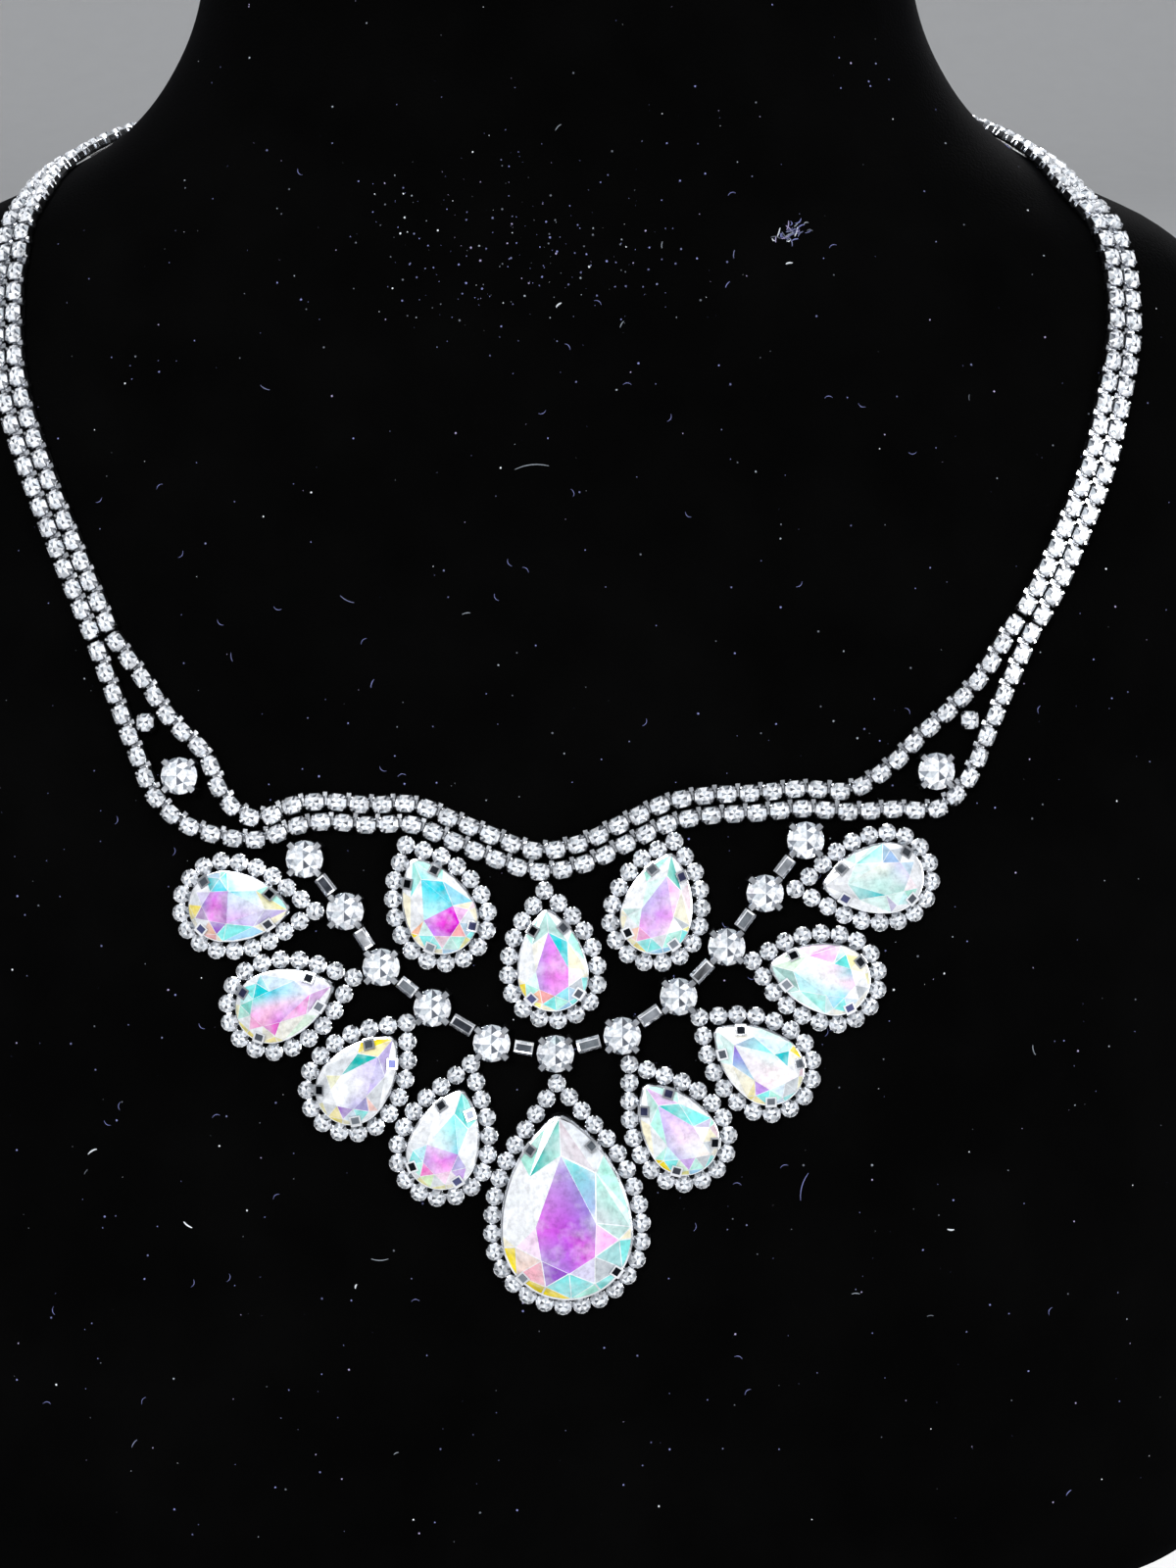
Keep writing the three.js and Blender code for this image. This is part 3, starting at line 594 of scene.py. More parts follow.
def cut_stone(shape, along, across, girdle, crown):
    """A small stone with an eight sided table, on a girdle at a height, its facets tinted with painted
    reflections.
    """
    top = shape.add([(x * along, y * across, z) for x, y, z in ring(TABLE_SHARE, girdle + crown, 8, 0.5)])
    rim = shape.add([(x * along, y * across, z) for x, y, z in ring(1.0, girdle, 8, 0.5)])
    (middle,) = shape.add([(0, 0, girdle + crown)])
    for i in range(8):
        j = (i + 1) % 8
        shape.face([middle, top[i], top[j]], CLEAR_TABLE_REFLECTIONS[i])
        shape.face([rim[i], rim[j], top[j]], CLEAR_CROWN_REFLECTIONS[i])
        shape.face([rim[i], top[j], top[i]], CLEAR_CROWN_REFLECTIONS[(i + 3) % 8])


# A claw's depth inwards and outwards and the width of its end, as shares of its width.
CLAW = {"inner": 0.6, "outer": 0.25, "end": 0.6}


def claw(shape, angle, radius, low, high, wide, lean, tint="white"):
    """A prong that rises at the side of a cup and bends in over its stone to a narrow end."""
    cos, sin = math.cos(angle), math.sin(angle)

    def place(p):
        inward = lean if p[2] > (low + high) / 2 else 0.0
        narrow = CLAW["end"] if inward else 1.0
        x, y = p[0] - inward, p[1] * narrow
        return x * cos - y * sin, x * sin + y * cos, p[2]

    inner, outer = radius - wide * CLAW["inner"], radius + wide * CLAW["outer"]
    shape.box((inner, -wide / 2, low), (outer, wide / 2, high), tint, place)


def round_cup_stone():
    """A small round stone in a round cup with four claws, as in the chains round the pears."""
    shape = Shape()
    radius, girdle = HALO["stone"] / 2, CUP["setting"]
    levels = [(0.93, 0.0), (1.0, girdle * 0.35), (0.97, girdle * 0.95), (0.88, girdle)]
    shape.cup([shape.add(ring(radius * share, z, 12)) for share, z in levels])
    cut_stone(shape, radius * 0.95, radius * 0.95, girdle - STONE_SINK, CUP["crown"])
    for k in range(4):
        claw(shape, math.radians(45 + 90 * k), radius * 0.98,
             low=girdle * 0.5, high=girdle + 0.36, wide=0.62, lean=0.26)
    return shape


def square_cup_stone(along=CUP["along"], across=CUP["across"], scale=1.0):
    """A small stone in a squarish cup with four corner claws, its sizes as half sizes."""
    shape = Shape()
    girdle = CUP["setting"] * scale
    corner = CUP["corner"] * scale

    def level(share, z):
        a, c, k = along * share, across * share, corner * share
        flat = [(a, k - c), (a, c - k), (a - k, c), (k - a, c)]
        return shape.add([(x, y, z) for x, y in flat + [(-x, -y) for x, y in flat]])

    levels = [(0.9, 0.0), (1.0, girdle * 0.3), (0.99, girdle * 0.9), (0.94, girdle)]
    shape.cup([level(share, z) for share, z in levels])
    cut_stone(shape, along * 0.98, across * 0.98, girdle - STONE_SINK * scale, CUP["crown"] * scale)
    out, up = along - corner / 2, across - corner / 2
    for ahead in (1, -1):
        for side in (1, -1):
            claw(shape, math.atan2(side * up, ahead * out), math.hypot(out, up), low=girdle * 0.5,
                 high=girdle + 0.34 * scale, wide=0.52 * scale, lean=0.24 * scale)
    return shape


# An eyelet's half length and half width, its height over the link, and the half width of its stem.
EYELET = {"long": 0.3, "wide": 0.26, "high": 0.45, "stem": 0.16}


def link_shape(length, wide, low, high, nub=None):
    """A short bar from one cup to the next, along x, and its eyelet at the side if it has one."""
    shape = Shape()
    shape.box((-length / 2, -wide / 2, low), (length / 2, wide / 2, high))
    if nub:
        end, side, stem = EYELET["long"], EYELET["wide"], EYELET["stem"]
        shape.box((-end, nub - side, low), (end, nub + side, high + EYELET["high"]))
        shape.box((-stem, min(0.0, nub), low + 0.1), (stem, max(0.0, nub), high))
    return shape


def sparkle(seed, low=0.62):
    """Painted sparkle: the brightness of each facet of each copy, most of them full, a few dimmer."""
    random = np.random.default_rng(seed)

    def vary(copies, faces):
        each = random.random((copies, faces))
        whole = 1 - COPY_SPREAD + COPY_SPREAD * random.random((copies, 1))
        return np.where(each < DIM_SHARE, low, 1.0) * whole

    return vary


def turned(axes, turns):
    """Axes turned about their normals, each by its own angle in radians."""
    cos, sin = np.cos(turns)[:, None], np.sin(turns)[:, None]
    ahead = axes[:, :, 0] * cos + axes[:, :, 1] * sin
    side = axes[:, :, 1] * cos - axes[:, :, 0] * sin
    return np.stack([ahead, side, axes[:, :, 2]], -1)


def spun(origins, axes, seed):
    """The same frames, some of them turned half a turn about their normals."""
    turns = np.random.default_rng(seed).integers(0, 2, len(origins)) * math.pi
    return origins, turned(axes, turns)


def stone_row(name, points, normals, first, last, count, seed, *nodes, shift=0.0, neck_side=1):
    """A row of cups along a route, joined by links with eyelets on the side of the neck."""
    origins, axes = along(points, normals, first, last, count)
    origins = origins + axes[:, :, 2] * GAP + axes[:, :, 1] * shift
    joined = Joined()
    joined.stamp(square_cup_stone(), *spun(origins, axes, seed), sparkle(seed))
    between = (origins[1:] + origins[:-1]) / 2
    pitch = float(np.mean(np.linalg.norm(np.diff(origins, axis=0), axis=1)))
    link = link_shape(pitch - CUP["along"] * 1.7, wide=0.7, low=0.25, high=0.7,
                      nub=neck_side * CUP["across"] * 0.9)
    joined.stamp(link, between, axes[:-1])
    return finished(joined.make(name, [CLEAR, METAL]), "chain_stones", *nodes)


def edge_rows():
    """The two rows of stones along the upper edge."""
    for name, rows, seed in (("inner", EDGE_INNER, 11), ("outer", EDGE_OUTER, 12)):
        points, normals = on_chest(smooth(rows, EDGE_STEPS))
        length = length_of(points)
        count = round(length / CUP_PITCH) + 1
        stone_row(f"edge_{name}_row", points, normals, 0, length, count, seed, f"edge_chain_{name}")


def between_rows(inner, outer):
    """The place on the bust between the ends of the two edge rows."""
    out = abs(inner[0] + outer[0]) / 2
    z = BIB_DATUM + (inner[1] + outer[1]) / 2 * math.cos(CHEST_SLOPE)
    half, _, _, _, power = section(z)
    return math.degrees(math.asin(float((out / half) ** (power / 2)))), z / BUST_HEIGHT


def bands():
    """Two rows of stones on each side, from the edge rows to the clasp."""
    sides = (("left", BAND_LEFT, -1, 0), ("right", BAND_RIGHT, 1, -1))
    for name, rows, sign, end in sides:
        route = [between_rows(EDGE_INNER[end], EDGE_OUTER[end]), *rows]
        places = smooth(route, BAND_STEPS) * [sign, 1]
        points, normals = on_bust(places)
        length = length_of(points)
        first = 2 * CUP["radius"] + 2 * GAP
        last = length - CLASP_LENGTH / 2 - GAP - CUP["radius"]
        count = round((last - first) / CUP_PITCH) + 1
        for strand, shift, seed in (("inner", ROW_PITCH / 2, 21), ("outer", -ROW_PITCH / 2, 22)):
            stone_row(f"band_{name}_{strand}_row", points, normals, first, last, count,
                      seed + 10 * (sign > 0), f"band_{name}_{strand}", shift=sign * shift, neck_side=sign)


def side_stones():
    """One square-set stone between the edge rows, near each of their ends."""
    for seed, (name, place) in enumerate(SIDE_STONES.items(), 41):
        origins, axes = seats(*on_chest([place]), 0)
        joined = Joined()
        joined.stamp(square_cup_stone(along=1.3, across=1.3, scale=1.09), origins, axes, sparkle(seed))
        finished(joined.make(f"{name}_cup", [CLEAR, METAL]), "chain_stones", name)


# Large round stones

# Painted reflections: the tints of the facets of a large round stone, bright and darker in turn.
BRILLIANT_TABLE_REFLECTIONS = ("white", "grey", "pearl", "white", "silver", "white", "ash", "white")
BRILLIANT_STAR_REFLECTIONS = ("pearl", "white", "silver", "white", "silver", "white", "white", "grey")
BRILLIANT_KITE_REFLECTIONS = ("white", "white", "grey", "white", "ash", "pearl", "white", "silver",
                  "white", "grey", "white", "white", "silver", "white", "grey", "white")


# Radii of the table and of the tips of the stars, and the height of those tips on the crown.
BRILLIANT = {"table": 0.52, "star": 0.78, "star_height": 0.58}


def brilliant(shape, radius, girdle, crown):
    """A round brilliant: table, stars, kites and girdle facets."""
    (middle,) = shape.add([(0, 0, girdle + crown)])
    table = shape.add(ring(radius * BRILLIANT["table"], girdle + crown, 8))
    stars = shape.add(ring(radius * BRILLIANT["star"], girdle + crown * BRILLIANT["star_height"], 8, 0.5))
    rim = shape.add(ring(radius, girdle, 16))
    for i in range(8):
        j, h = (i + 1) % 8, (i - 1) % 8
        shape.face([middle, table[i], table[j]], BRILLIANT_TABLE_REFLECTIONS[i])
        shape.face([table[i], stars[i], table[j]], BRILLIANT_STAR_REFLECTIONS[i])
        shape.face([table[i], stars[h], rim[2 * i]], BRILLIANT_KITE_REFLECTIONS[2 * i])
        shape.face([table[i], rim[2 * i], stars[i]], BRILLIANT_KITE_REFLECTIONS[2 * i + 1])
        shape.face([stars[i], rim[2 * i], rim[2 * i + 1]], BRILLIANT_KITE_REFLECTIONS[(2 * i + 5) % 16])
        shape.face([stars[i], rim[2 * i + 1], rim[(2 * i + 2) % 16]], BRILLIANT_KITE_REFLECTIONS[(2 * i + 10) % 16])


def round_stone_shape():
    """A large round stone in its cup with four prongs."""
    shape = Shape()
    radius, girdle = ROUND["radius"], ROUND["setting"]
    levels = [(0.84, 0.0), (0.92, 0.35), (0.92, girdle - 0.25), (0.9, girdle), (0.84, girdle + 0.05)]
    shape.cup([shape.add(ring(radius * share, z, 24)) for share, z in levels])
    brilliant(shape, radius * 0.91, girdle, ROUND["crown"])
    for k in range(4):
        angle = math.radians(45 + 90 * k)
        # Painted shade: each prong stands on a wider, lower claw tinted ash, darker round its foot.
        claw(shape, angle, radius * 0.9, low=0.3, high=girdle + 0.3, wide=1.7, lean=0.2, tint="ash")
        claw(shape, angle, radius, low=0.3, high=girdle + 0.55, wide=1.2, lean=0.14)
    return shape


BAR = {"wide": 1.8, "high": 1.5, "bevel": 0.3, "frame": 0.26, "deep": 0.08}
# Painted reflections on the polished bars: the tint of the sunk face on top of each, from the viewer's
# left.
BAR_PANEL_REFLECTIONS = ("ash", "white", "silver", "ash", "grey",
              "silver", "pearl", "dark>white", "silver", "pearl")


def bar_shape(length, reflection_tint):
    """A polished bar along x, with bevelled edges and a sunk top face tinted with a painted reflection."""
    shape = Shape()
    half, high, bevel, frame = BAR["wide"] / 2, BAR["high"], BAR["bevel"], BAR["frame"]
    outline = [(-half, 0), (half, 0), (half, high - bevel), (half - bevel, high),
               (bevel - half, high), (-half, high - bevel)]
    near = shape.add([(-length / 2, y, z) for y, z in outline])
    far = shape.add([(length / 2, y, z) for y, z in outline])
    shape.face(near[::-1])
    shape.face(far)
    for i in (0, 1, 2, 4, 5):
        j = (i + 1) % 6
        shape.face([near[i], near[j], far[j], far[i]])
    rim = [near[4], near[3], far[3], far[4]]
    end, side = length / 2 - frame, half - bevel - frame / 2
    corners = ((-end, -side), (-end, side), (end, side), (end, -side))
    sunk = shape.add([(x, y, high - BAR["deep"]) for x, y in corners])
    shape.band(rim, sunk)
    shape.face(sunk, reflection_tint)
    return shape


def bars():
    """A polished bar from each round stone of the arc to the next."""
    for i, reflection_tint in enumerate(BAR_PANEL_REFLECTIONS, 1):
        first, last = ROUNDS[f"round_{i}"], ROUNDS[f"round_{i + 1}"]
        out, up = last[0] - first[0], last[1] - first[1]
        length = math.hypot(out, up) - 2 * (ROUND["radius"] + GAP)
        middle = ((first[0] + last[0]) / 2, (first[1] + last[1]) / 2)
        turn = math.degrees(math.atan2(up, out))
        joined = Joined()
        joined.stamp(bar_shape(length, reflection_tint), *seats(*on_chest([middle]), turn))
        finished(joined.make(f"bar_{i}_polished", [METAL]), "silver_metal", f"bar_{i}")


def round_stones():
    """The large round stones of the arc and at the sides."""
    shape = round_stone_shape()
    for seed, (name, place) in enumerate(ROUNDS.items(), 51):
        joined = Joined()
        joined.stamp(shape, *seats(*on_chest([place]), 0), sparkle(seed, low=0.8))
        finished(joined.make(f"{name}_brilliant", [CLEAR, METAL]), "round_crystal", name)


# Pear stones

# Corners of the facets in shares of half the width, from the middle of the round end, with
# the tip on +x: the table, the tips of the stars between its corners, and where the kites
# meet the girdle. The height of a star tip is a share of the crown.
TABLE_CORNERS = [(1.24, 0.0), (0.20, -0.45), (-0.30, -0.40), (-0.52, 0.0), (-0.30, 0.40), (0.20, 0.45)]
STAR_TIPS = [(0.93, -0.50), (-0.10, -0.78), (-0.73, -0.37), (-0.73, 0.37), (-0.10, 0.78), (0.93, 0.50)]
STAR_HEIGHT = 0.52
KITE_FEET = (0.0, -87.0, -125.0, 180.0, 125.0, 87.0)
SECTORS = ("tip_right", "side_right", "base_right", "base_left", "side_left", "tip_left")

# Painted reflections of the coating: the tint that a facet shows by the direction that it faces on the
# bib, in degrees
# from out towards up: the stars round the table, the kites and the facets along the girdle.
COATING_REFLECTIONS = {
    "star": [(0, "pink"), (45, "sky"), (90, "cyan"), (135, "mint"), (180, "white"), (215, "pink"),
             (260, "purple"), (300, "lavender"), (335, "pearl")],
    "kite": [(0, "cream"), (40, "aqua"), (85, "teal"), (120, "mint"), (160, "white"), (200, "white"),
             (230, "peach"), (262, "aqua"), (295, "mint"), (330, "silver")],
    "rim": [(0, "blush"), (30, "mint"), (70, "white"), (115, "mint"), (155, "white"), (195, "cream"),
            (225, "yellow"), (250, "cream"), (285, "sky"), (320, "aqua"), (345, "cream")],
}


def coating_reflection(kind, degrees):
    """The painted coating reflection for a facet of a kind that faces a direction."""
    rows = COATING_REFLECTIONS[kind]
    return min(rows, key=lambda row: abs((degrees - row[0] + 180) % 360 - 180))[1]


# Each stone's coating colours and painted reflections, facet by facet. "table" gives the table's tints at
# its tip, right, low right, base, low left, left and middle; "cap", where there is one, those of the half
# of the table at the tip, at its tip, left and right. A sector gives its facets in the order of
# LOOK_COLUMNS. Where it has "-" or nothing, the tint is the one the stone gives for that kind of facet, or
# else the coating's painted reflection.
LOOK_COLUMNS = ("star", "kite_a", "kite_b", "rim_a", "rim_b")
PEAR_COATING_AND_REFLECTIONS = {
    "outer_left": {
        "table": "magenta purple magenta slate orchid orchid+slate magenta",
        "cap": "lavender+pearl aqua+lavender magenta+lavender",
        "tip_right": "lavender lavender",
        "side_right": "purple+violet aqua peach - peach+rose",
        "base_right": "purple - yellow cream yellow",
        "base_left": "pearl+lavender pearl",
        "side_left": "cyan cyan+teal cyan sky>silver",
        "tip_left": "cyan>white cyan>white cream+lemon",
    },
    "second_left": {
        "rim": "white",
        "kite": "white",
        "table": "lavender+white magenta+orchid rose+pink pink teal+aqua cyan pink+blush",
        "tip_right": "fuchsia+pink>pink pink+lavender cream+white - cream+mint",
        "side_right": "rose+magenta cream+white cream cream+lemon yellow+cream",
        "base_right": "rose+pink - - yellow yellow+lemon",
        "base_left": "teal+mint mint aqua+white lemon+white",
        "side_left": "cyan+teal aqua cyan>aqua+white",
        "tip_left": "cyan>white+lavender sky+white lavender+white",
    },
    "third_left": {
        "rim": "white",
        "kite": "white+silver",
        "table": "lavender lavender+white slate+lavender white white white white",
        "tip_right": "lavender+slate>lavender lavender",
        "side_right": "lavender+slate peach+blush aqua white",
        "base_right": "violet+purple sky+white yellow+cream yellow+white yellow",
        "base_left": "white - - cream+lemon",
        "side_left": "lemon+white",
        "tip_left": "teal - yellow+white - yellow",
    },
    "fourth_left": {
        "rim": "white",
        "kite": "white+silver",
        "table": "aqua slate+orchid pink orchid+pink slate+orchid white+orchid fuchsia+orchid",
        "cap": "aqua white aqua+slate",
        "tip_right": "teal+aqua>slate+sky teal+aqua>aqua white aqua+mint",
        "side_right": "slate+lavender white lavender+orchid",
        "base_right": "blush+pink blush+white - cream cream+lemon",
        "base_left": "fuchsia+rose lemon+mint mint lemon+cream",
        "side_left": "white+cyan cyan+mint",
        "tip_left": "white white white",
    },
    "main": {
        "table": "slate+lavender slate+violet magenta orchid+violet orchid+slate "
                 "orchid+magenta magenta+violet",
        "tip_right": "teal>slate silver+blush mint>silver pearl",
        "side_right": "pink mint+silver aqua+silver",
        "base_right": "lavender+pearl silver cyan+mint - mint",
        "base_left": "purple+violet cyan+mint peach+pink yellow yellow",
        "side_left": "pink+white peach+white white - cream",
        "tip_left": "white white teal>mint - mint",
    },
    "fourth_right": {
        "table": "lavender pink+lavender white+blush pearl lavender+slate lavender+slate pink+white",
        "tip_right": "teal>aqua pink+lavender",
        "side_right": "lavender+white pearl+lavender",
        "base_right": "blush+cream",
        "base_left": "orchid+lavender - cream+mint - lemon",
        "side_left": "sky+mint - mint yellow",
        "tip_left": "mint - white>mint",
    },
    "third_right": {
        "table": "pearl pearl+mint blush+white white+cream blush blush+pearl blush+white",
        "tip_right": "slate+silver>aqua cream+white sky+white cream+white mint+white",
        "side_right": "cyan+teal aqua+white cream+white - yellow",
        "base_right": "white+blush white - - lemon+cream",
        "base_left": "white+sky - - - sky+white",
        "side_left": "violet+orchid - yellow+cream yellow+cream yellow",
        "tip_left": "cyan+silver>violet cream mint+white cream+white mint+white",
    },
    "second_right": {
        "rim": "white+cream",
        "table": "white+mint white+pink teal+sky blush+pink sky+cyan sky+aqua blush+white",
        "tip_right": "white+mint cream+mint rose+magenta>rose+lavender cream+mint rose+lavender",
        "side_right": "aqua+teal teal+silver cream+lemon",
        "base_right": "white+cream - white - lemon+cream",
        "base_left": "white - sky+white",
        "side_left": "cyan+sky aqua white+aqua",
        "tip_left": "sky+mint aqua+mint mint+grey mint+white mint+silver",
    },
    "outer_right": {
        "rim": "white",
        "kite": "white",
        "table": "white+mint cream+white silver+lavender lavender+white grey+mint silver+mint silver+mint",
        "tip_right": "mint+white - teal>mint - mint+white",
        "side_right": "sky+slate sky+grey silver",
        "base_right": "pearl+sky white",
        "base_left": "blush+white - mint",
        "side_left": "white+mint aqua+white lavender+silver",
        "tip_left": "teal+cyan>mint+silver mint+white white",
    },
    "inner_left": {
        "table": "magenta+purple magenta magenta purple+magenta orchid+violet orchid magenta+fuchsia",
        "cap": "cyan aqua+white cyan",
        "tip_right": "cyan aqua>white cyan+sky",
        "side_right": "rose+lavender - pearl",
        "base_right": "peach+rose silver+sky - - lemon",
        "base_left": "rose+blush",
        "side_left": "white+mint",
        "tip_left": "white - aqua>mint",
    },
    "inner_middle": {
        "table": "orchid orchid+fuchsia orchid+pink orchid+pink slate+orchid orchid+slate orchid+fuchsia",
        "tip_right": "cyan+teal mint+silver",
        "side_right": "pink+lavender cream+white",
        "base_right": "sky+aqua sky+silver",
        "base_left": "rose+peach - - - lemon",
        "side_left": "mint+white mint",
        "tip_left": "cream+white - mint+silver",
    },
    "inner_right": {
        "table": "lavender orchid+pink pink+white orchid orchid+fuchsia lavender+slate orchid",
        "tip_right": "pink+rose mint>teal",
        "side_right": "white - - lemon",
        "base_right": "silver+white",
        "base_left": "rose+fuchsia - - yellow yellow+cream",
        "side_left": "white+mint - pearl+mint",
        "tip_left": "white+mint - white",
    },
}

# The radius of a pear's rounded tip, and the width of the painted highlight lines along the edges of its
# facets, as shares of its width.
TIP_RADIUS = 0.11
FACET_EDGE_HIGHLIGHT = 0.008


def pear_rim(size, margin, degrees):
    """Points of a pear's outline, widened by a margin, in the directions of degrees. The tip
    is rounded by a share of the width."""
    half = size["width"] / 2
    tip = size["length"] - half
    flank = (half**2 + tip**2) / (2 * half)
    blunt = TIP_RADIUS * size["width"]
    centre = flank - half
    far = math.sqrt((flank + margin - blunt) ** 2 - centre**2)
    reach_up = math.hypot(centre, far)
    meets = math.atan2(blunt * centre / reach_up, far + blunt * far / reach_up)
    found = []
    for angle in np.radians(np.asarray(degrees, float)):
        dx, dy = math.cos(angle), abs(math.sin(angle))
        reach = half + margin
        if dx > 0:
            along_ray = dy * centre
            reach = -along_ray + math.sqrt(along_ray**2 - centre**2 + (flank + margin) ** 2)
            if math.atan2(dy, dx) < meets:
                reach = far * dx + math.sqrt(blunt**2 - (far * dy) ** 2)
        found.append((reach * math.cos(angle), reach * math.sin(angle)))
    return found


def facets_of(size):
    """The facets of a pear stone: sector, column of the looks and corner points."""
    half, girdle, crown = size["width"] / 2, size["setting"], size["crown"]
    inset = -0.03 * half
    table = [np.array([x * half, y * half, girdle + crown]) for x, y in TABLE_CORNERS]
    stars = [np.array([x * half, y * half, girdle + crown * STAR_HEIGHT]) for x, y in STAR_TIPS]

    def rim(first, last, steps):
        span = np.linspace(first, last, steps + 1)
        return [np.array([x, y, girdle]) for x, y in pear_rim(size, inset, span)]

    facets = []
    for k, sector in enumerate(SECTORS):
        a, b = table[k], table[(k + 1) % 6]
        star = stars[k]
        start, end = KITE_FEET[k], KITE_FEET[(k + 1) % 6]
        if start > 0 and k < 3:
            start -= 360
        if end - start > 0:
            end -= 360
        turn = math.degrees(math.atan2(star[1], star[0]))
        turn = turn - 360 * round((turn - (start + end) / 2) / 360)
        first, second = rim(start, turn, 4), rim(turn, end, 4)
        facets += [
            (sector, "star", [a, star, b]), (sector, "kite_a", [a, first[0], star]),
            (sector, "rim_a", [star, *first]), (sector, "rim_b", [star, *second]),
            (sector, "kite_b", [star, second[-1], b]),
        ]
    return facets, table


def facet_with_edge(shape, corners, tint, line, wide):
    """A facet with a painted highlight along its edges: a thin line of another tint."""
    points = np.array(corners)
    names = graded(tint, len(points))
    if np.cross(points[1] - points[0], points[2] - points[0])[2] < 0:
        points, names = points[::-1], names[::-1]
    middle = points.mean(0)
    reach = np.linalg.norm(points - middle, axis=1, keepdims=True)
    inner = middle + (points - middle) * np.maximum(1 - wide / reach, 0.5)
    outside, inside = shape.add(points), shape.add(inner)
    shape.face(inside, names)
    shape.band(outside, inside, line)


def table_fan(shape, table, tints):
    """The table, with painted reflections of the facets behind it, as tints that run into each other."""
    *edge, middle = tints
    rim = shape.add(table)
    (centre,) = shape.add([sum(table) / len(table)])
    for i, corner in enumerate(rim):
        j = (i + 1) % len(rim)
        shape.face([centre, rim[j], corner], [middle, edge[j], edge[i]])


def pear_shape(name, size, tip, tab_reflections):
    """A pear stone with its facets, in its setting with four flat tabs."""
    shape = Shape()
    painted_look = PEAR_COATING_AND_REFLECTIONS[name]
    facets, table = facets_of(size)
    line = FACET_EDGE_HIGHLIGHT * size["width"]
    for sector, column, corners in facets:
        out, up = np.mean(corners, axis=0)[:2]
        # The coating's painted reflection is chosen by the direction that the facet faces on the bib.
        faces = math.degrees(math.atan2(up, out - 0.15 * size["width"])) + tip
        tint = dict(zip(LOOK_COLUMNS, painted_look.get(sector, "").split())).get(column, "-")
        if tint == "-":
            kind = column.split("_")[0]
            tint = painted_look.get(kind, coating_reflection(kind, faces))
        # Every facet gets a white painted highlight along its edges.
        facet_with_edge(shape, corners, tint, "white", line)
    tints = painted_look["table"].split()
    if "cap" in painted_look:
        shape.face(shape.add([table[0], table[5], table[1]]), painted_look["cap"].split())
        table, tints = table[1:], tints[1:]
    table_fan(shape, table, tints)
    near_tip = [0, 1, 2, 3, 4.5]
    side = np.concatenate([near_tip, np.linspace(7.5, 90, 12), np.linspace(90, 180, 13)[1:]])
    directions = np.concatenate([side, 360 - side[-2:0:-1]])
    girdle = size["setting"]
    levels = [(-0.05, 0.0), (0.0, 0.3), (0.0, girdle - 0.35), (-0.08, girdle), (-0.3, girdle + 0.06)]
    shape.cup([shape.add([(x, y, z) for x, y in pear_rim(size, margin, directions)])
               for margin, z in levels])
    tabs(shape, size, tab_reflections)
    return shape


# Flat tabs: their directions from the middle of the round end, in degrees from the tip, their
# sizes, and the painted dark reflections on their faces.
TAB_PLACES = (21, 130, 230, 339)
TAB = {"wide": 1.5, "long": 1.35, "thick": 0.28, "frame": 0.24, "lift": 0.05, "stem": 0.12}
TAB_FACE_REFLECTIONS = ("dark", "slate+dark", "ash", "grey+ash", "grey", "dark", "grey", "slate+dark", "dark+ash")


def tabs(shape, size, tints):
    """Flat tabs that come up the side of the setting and fold over the crown, each with a face
    tinted with a painted dark reflection."""
    half, girdle = size["width"] / 2, size["setting"]
    tip = size["length"] - half
    centre = (half**2 + tip**2) / (2 * half) - half
    slope = size["crown"] / (0.4 * half) * 0.62
    for degrees, tint in zip(TAB_PLACES, tints):
        (x, y), = pear_rim(size, 0.0, [degrees])
        angle = math.atan2(y + math.copysign(centre, y), x) if x > 0 else math.atan2(y, x)
        cos, sin = math.cos(angle), math.sin(angle)

        def place(p):
            lift = girdle + max(-p[0], 0) * slope + p[2]
            return x + p[0] * cos - p[1] * sin, y + p[0] * sin + p[1] * cos, lift

        side, end, frame = TAB["wide"] / 2, -TAB["long"], TAB["frame"]
        low, high, stem = TAB["lift"], TAB["lift"] + TAB["thick"], TAB["stem"]
        shape.box((end, -side, low), (0.02, side, high), "white", place)
        # The face on each tab: a painted dark reflection.
        shape.box((end + frame, frame - side, 0.1), (-frame, side - frame, high + 0.04), tint, place)
        shape.box((-stem, -side, -girdle * 0.55), (stem, side, 0.3), "white", place)


def pear_frames():
    """Each pear's size, out, up, tip direction and reach."""
    touch = ROUND["radius"] + GAP + HALO["wide"] / 2
    found = {}
    for name, (stone, tip, aside, reach) in OUTER_PEARS.items():
        size = MAIN_PEAR if name == "main" else PEAR
        far = math.sqrt(touch**2 - aside**2) + reach + size["length"] - size["width"] / 2
        cos, sin = math.cos(math.radians(tip)), math.sin(math.radians(tip))
        out, up = ROUNDS[stone]
        found[name] = (size, out - far * cos + aside * sin, up - far * sin - aside * cos, tip, reach)
    for name, (out, up, tip, reach) in INNER_PEARS.items():
        found[name] = (PEAR, out, up, tip, reach)
    return found


def halo_path(size, reach):
    """The line through the stones of the chain round a pear, closed, from its point. Its reach
    is how far the point lies past the tip."""
    margin = HALO["gap"] + HALO["wide"] / 2 - HALO["inset"]
    body = pear_rim(size, margin, np.linspace(size["leaves_at"], 360 - size["leaves_at"], 240))
    point = (size["length"] - size["width"] / 2 + reach, 0.0)
    return np.array([point, *body, point])


def halo_frames(size, reach):
    """Places and directions of the stones of the chain round a pear, in the pear's plane."""
    path = halo_path(size, reach)
    run = np.concatenate([[0], np.cumsum(np.linalg.norm(np.diff(path, axis=0), axis=1))])
    count = round(run[-1] / HALO["pitch"])
    at = np.arange(count) * run[-1] / count

    def pick(where):
        where = where % run[-1]
        return np.stack([np.interp(where, run, path[:, k]) for k in range(2)], -1)

    step = pick(at + 0.4) - pick(at - 0.4)
    return pick(at), np.arctan2(step[:, 1], step[:, 0]), run[-1] / count


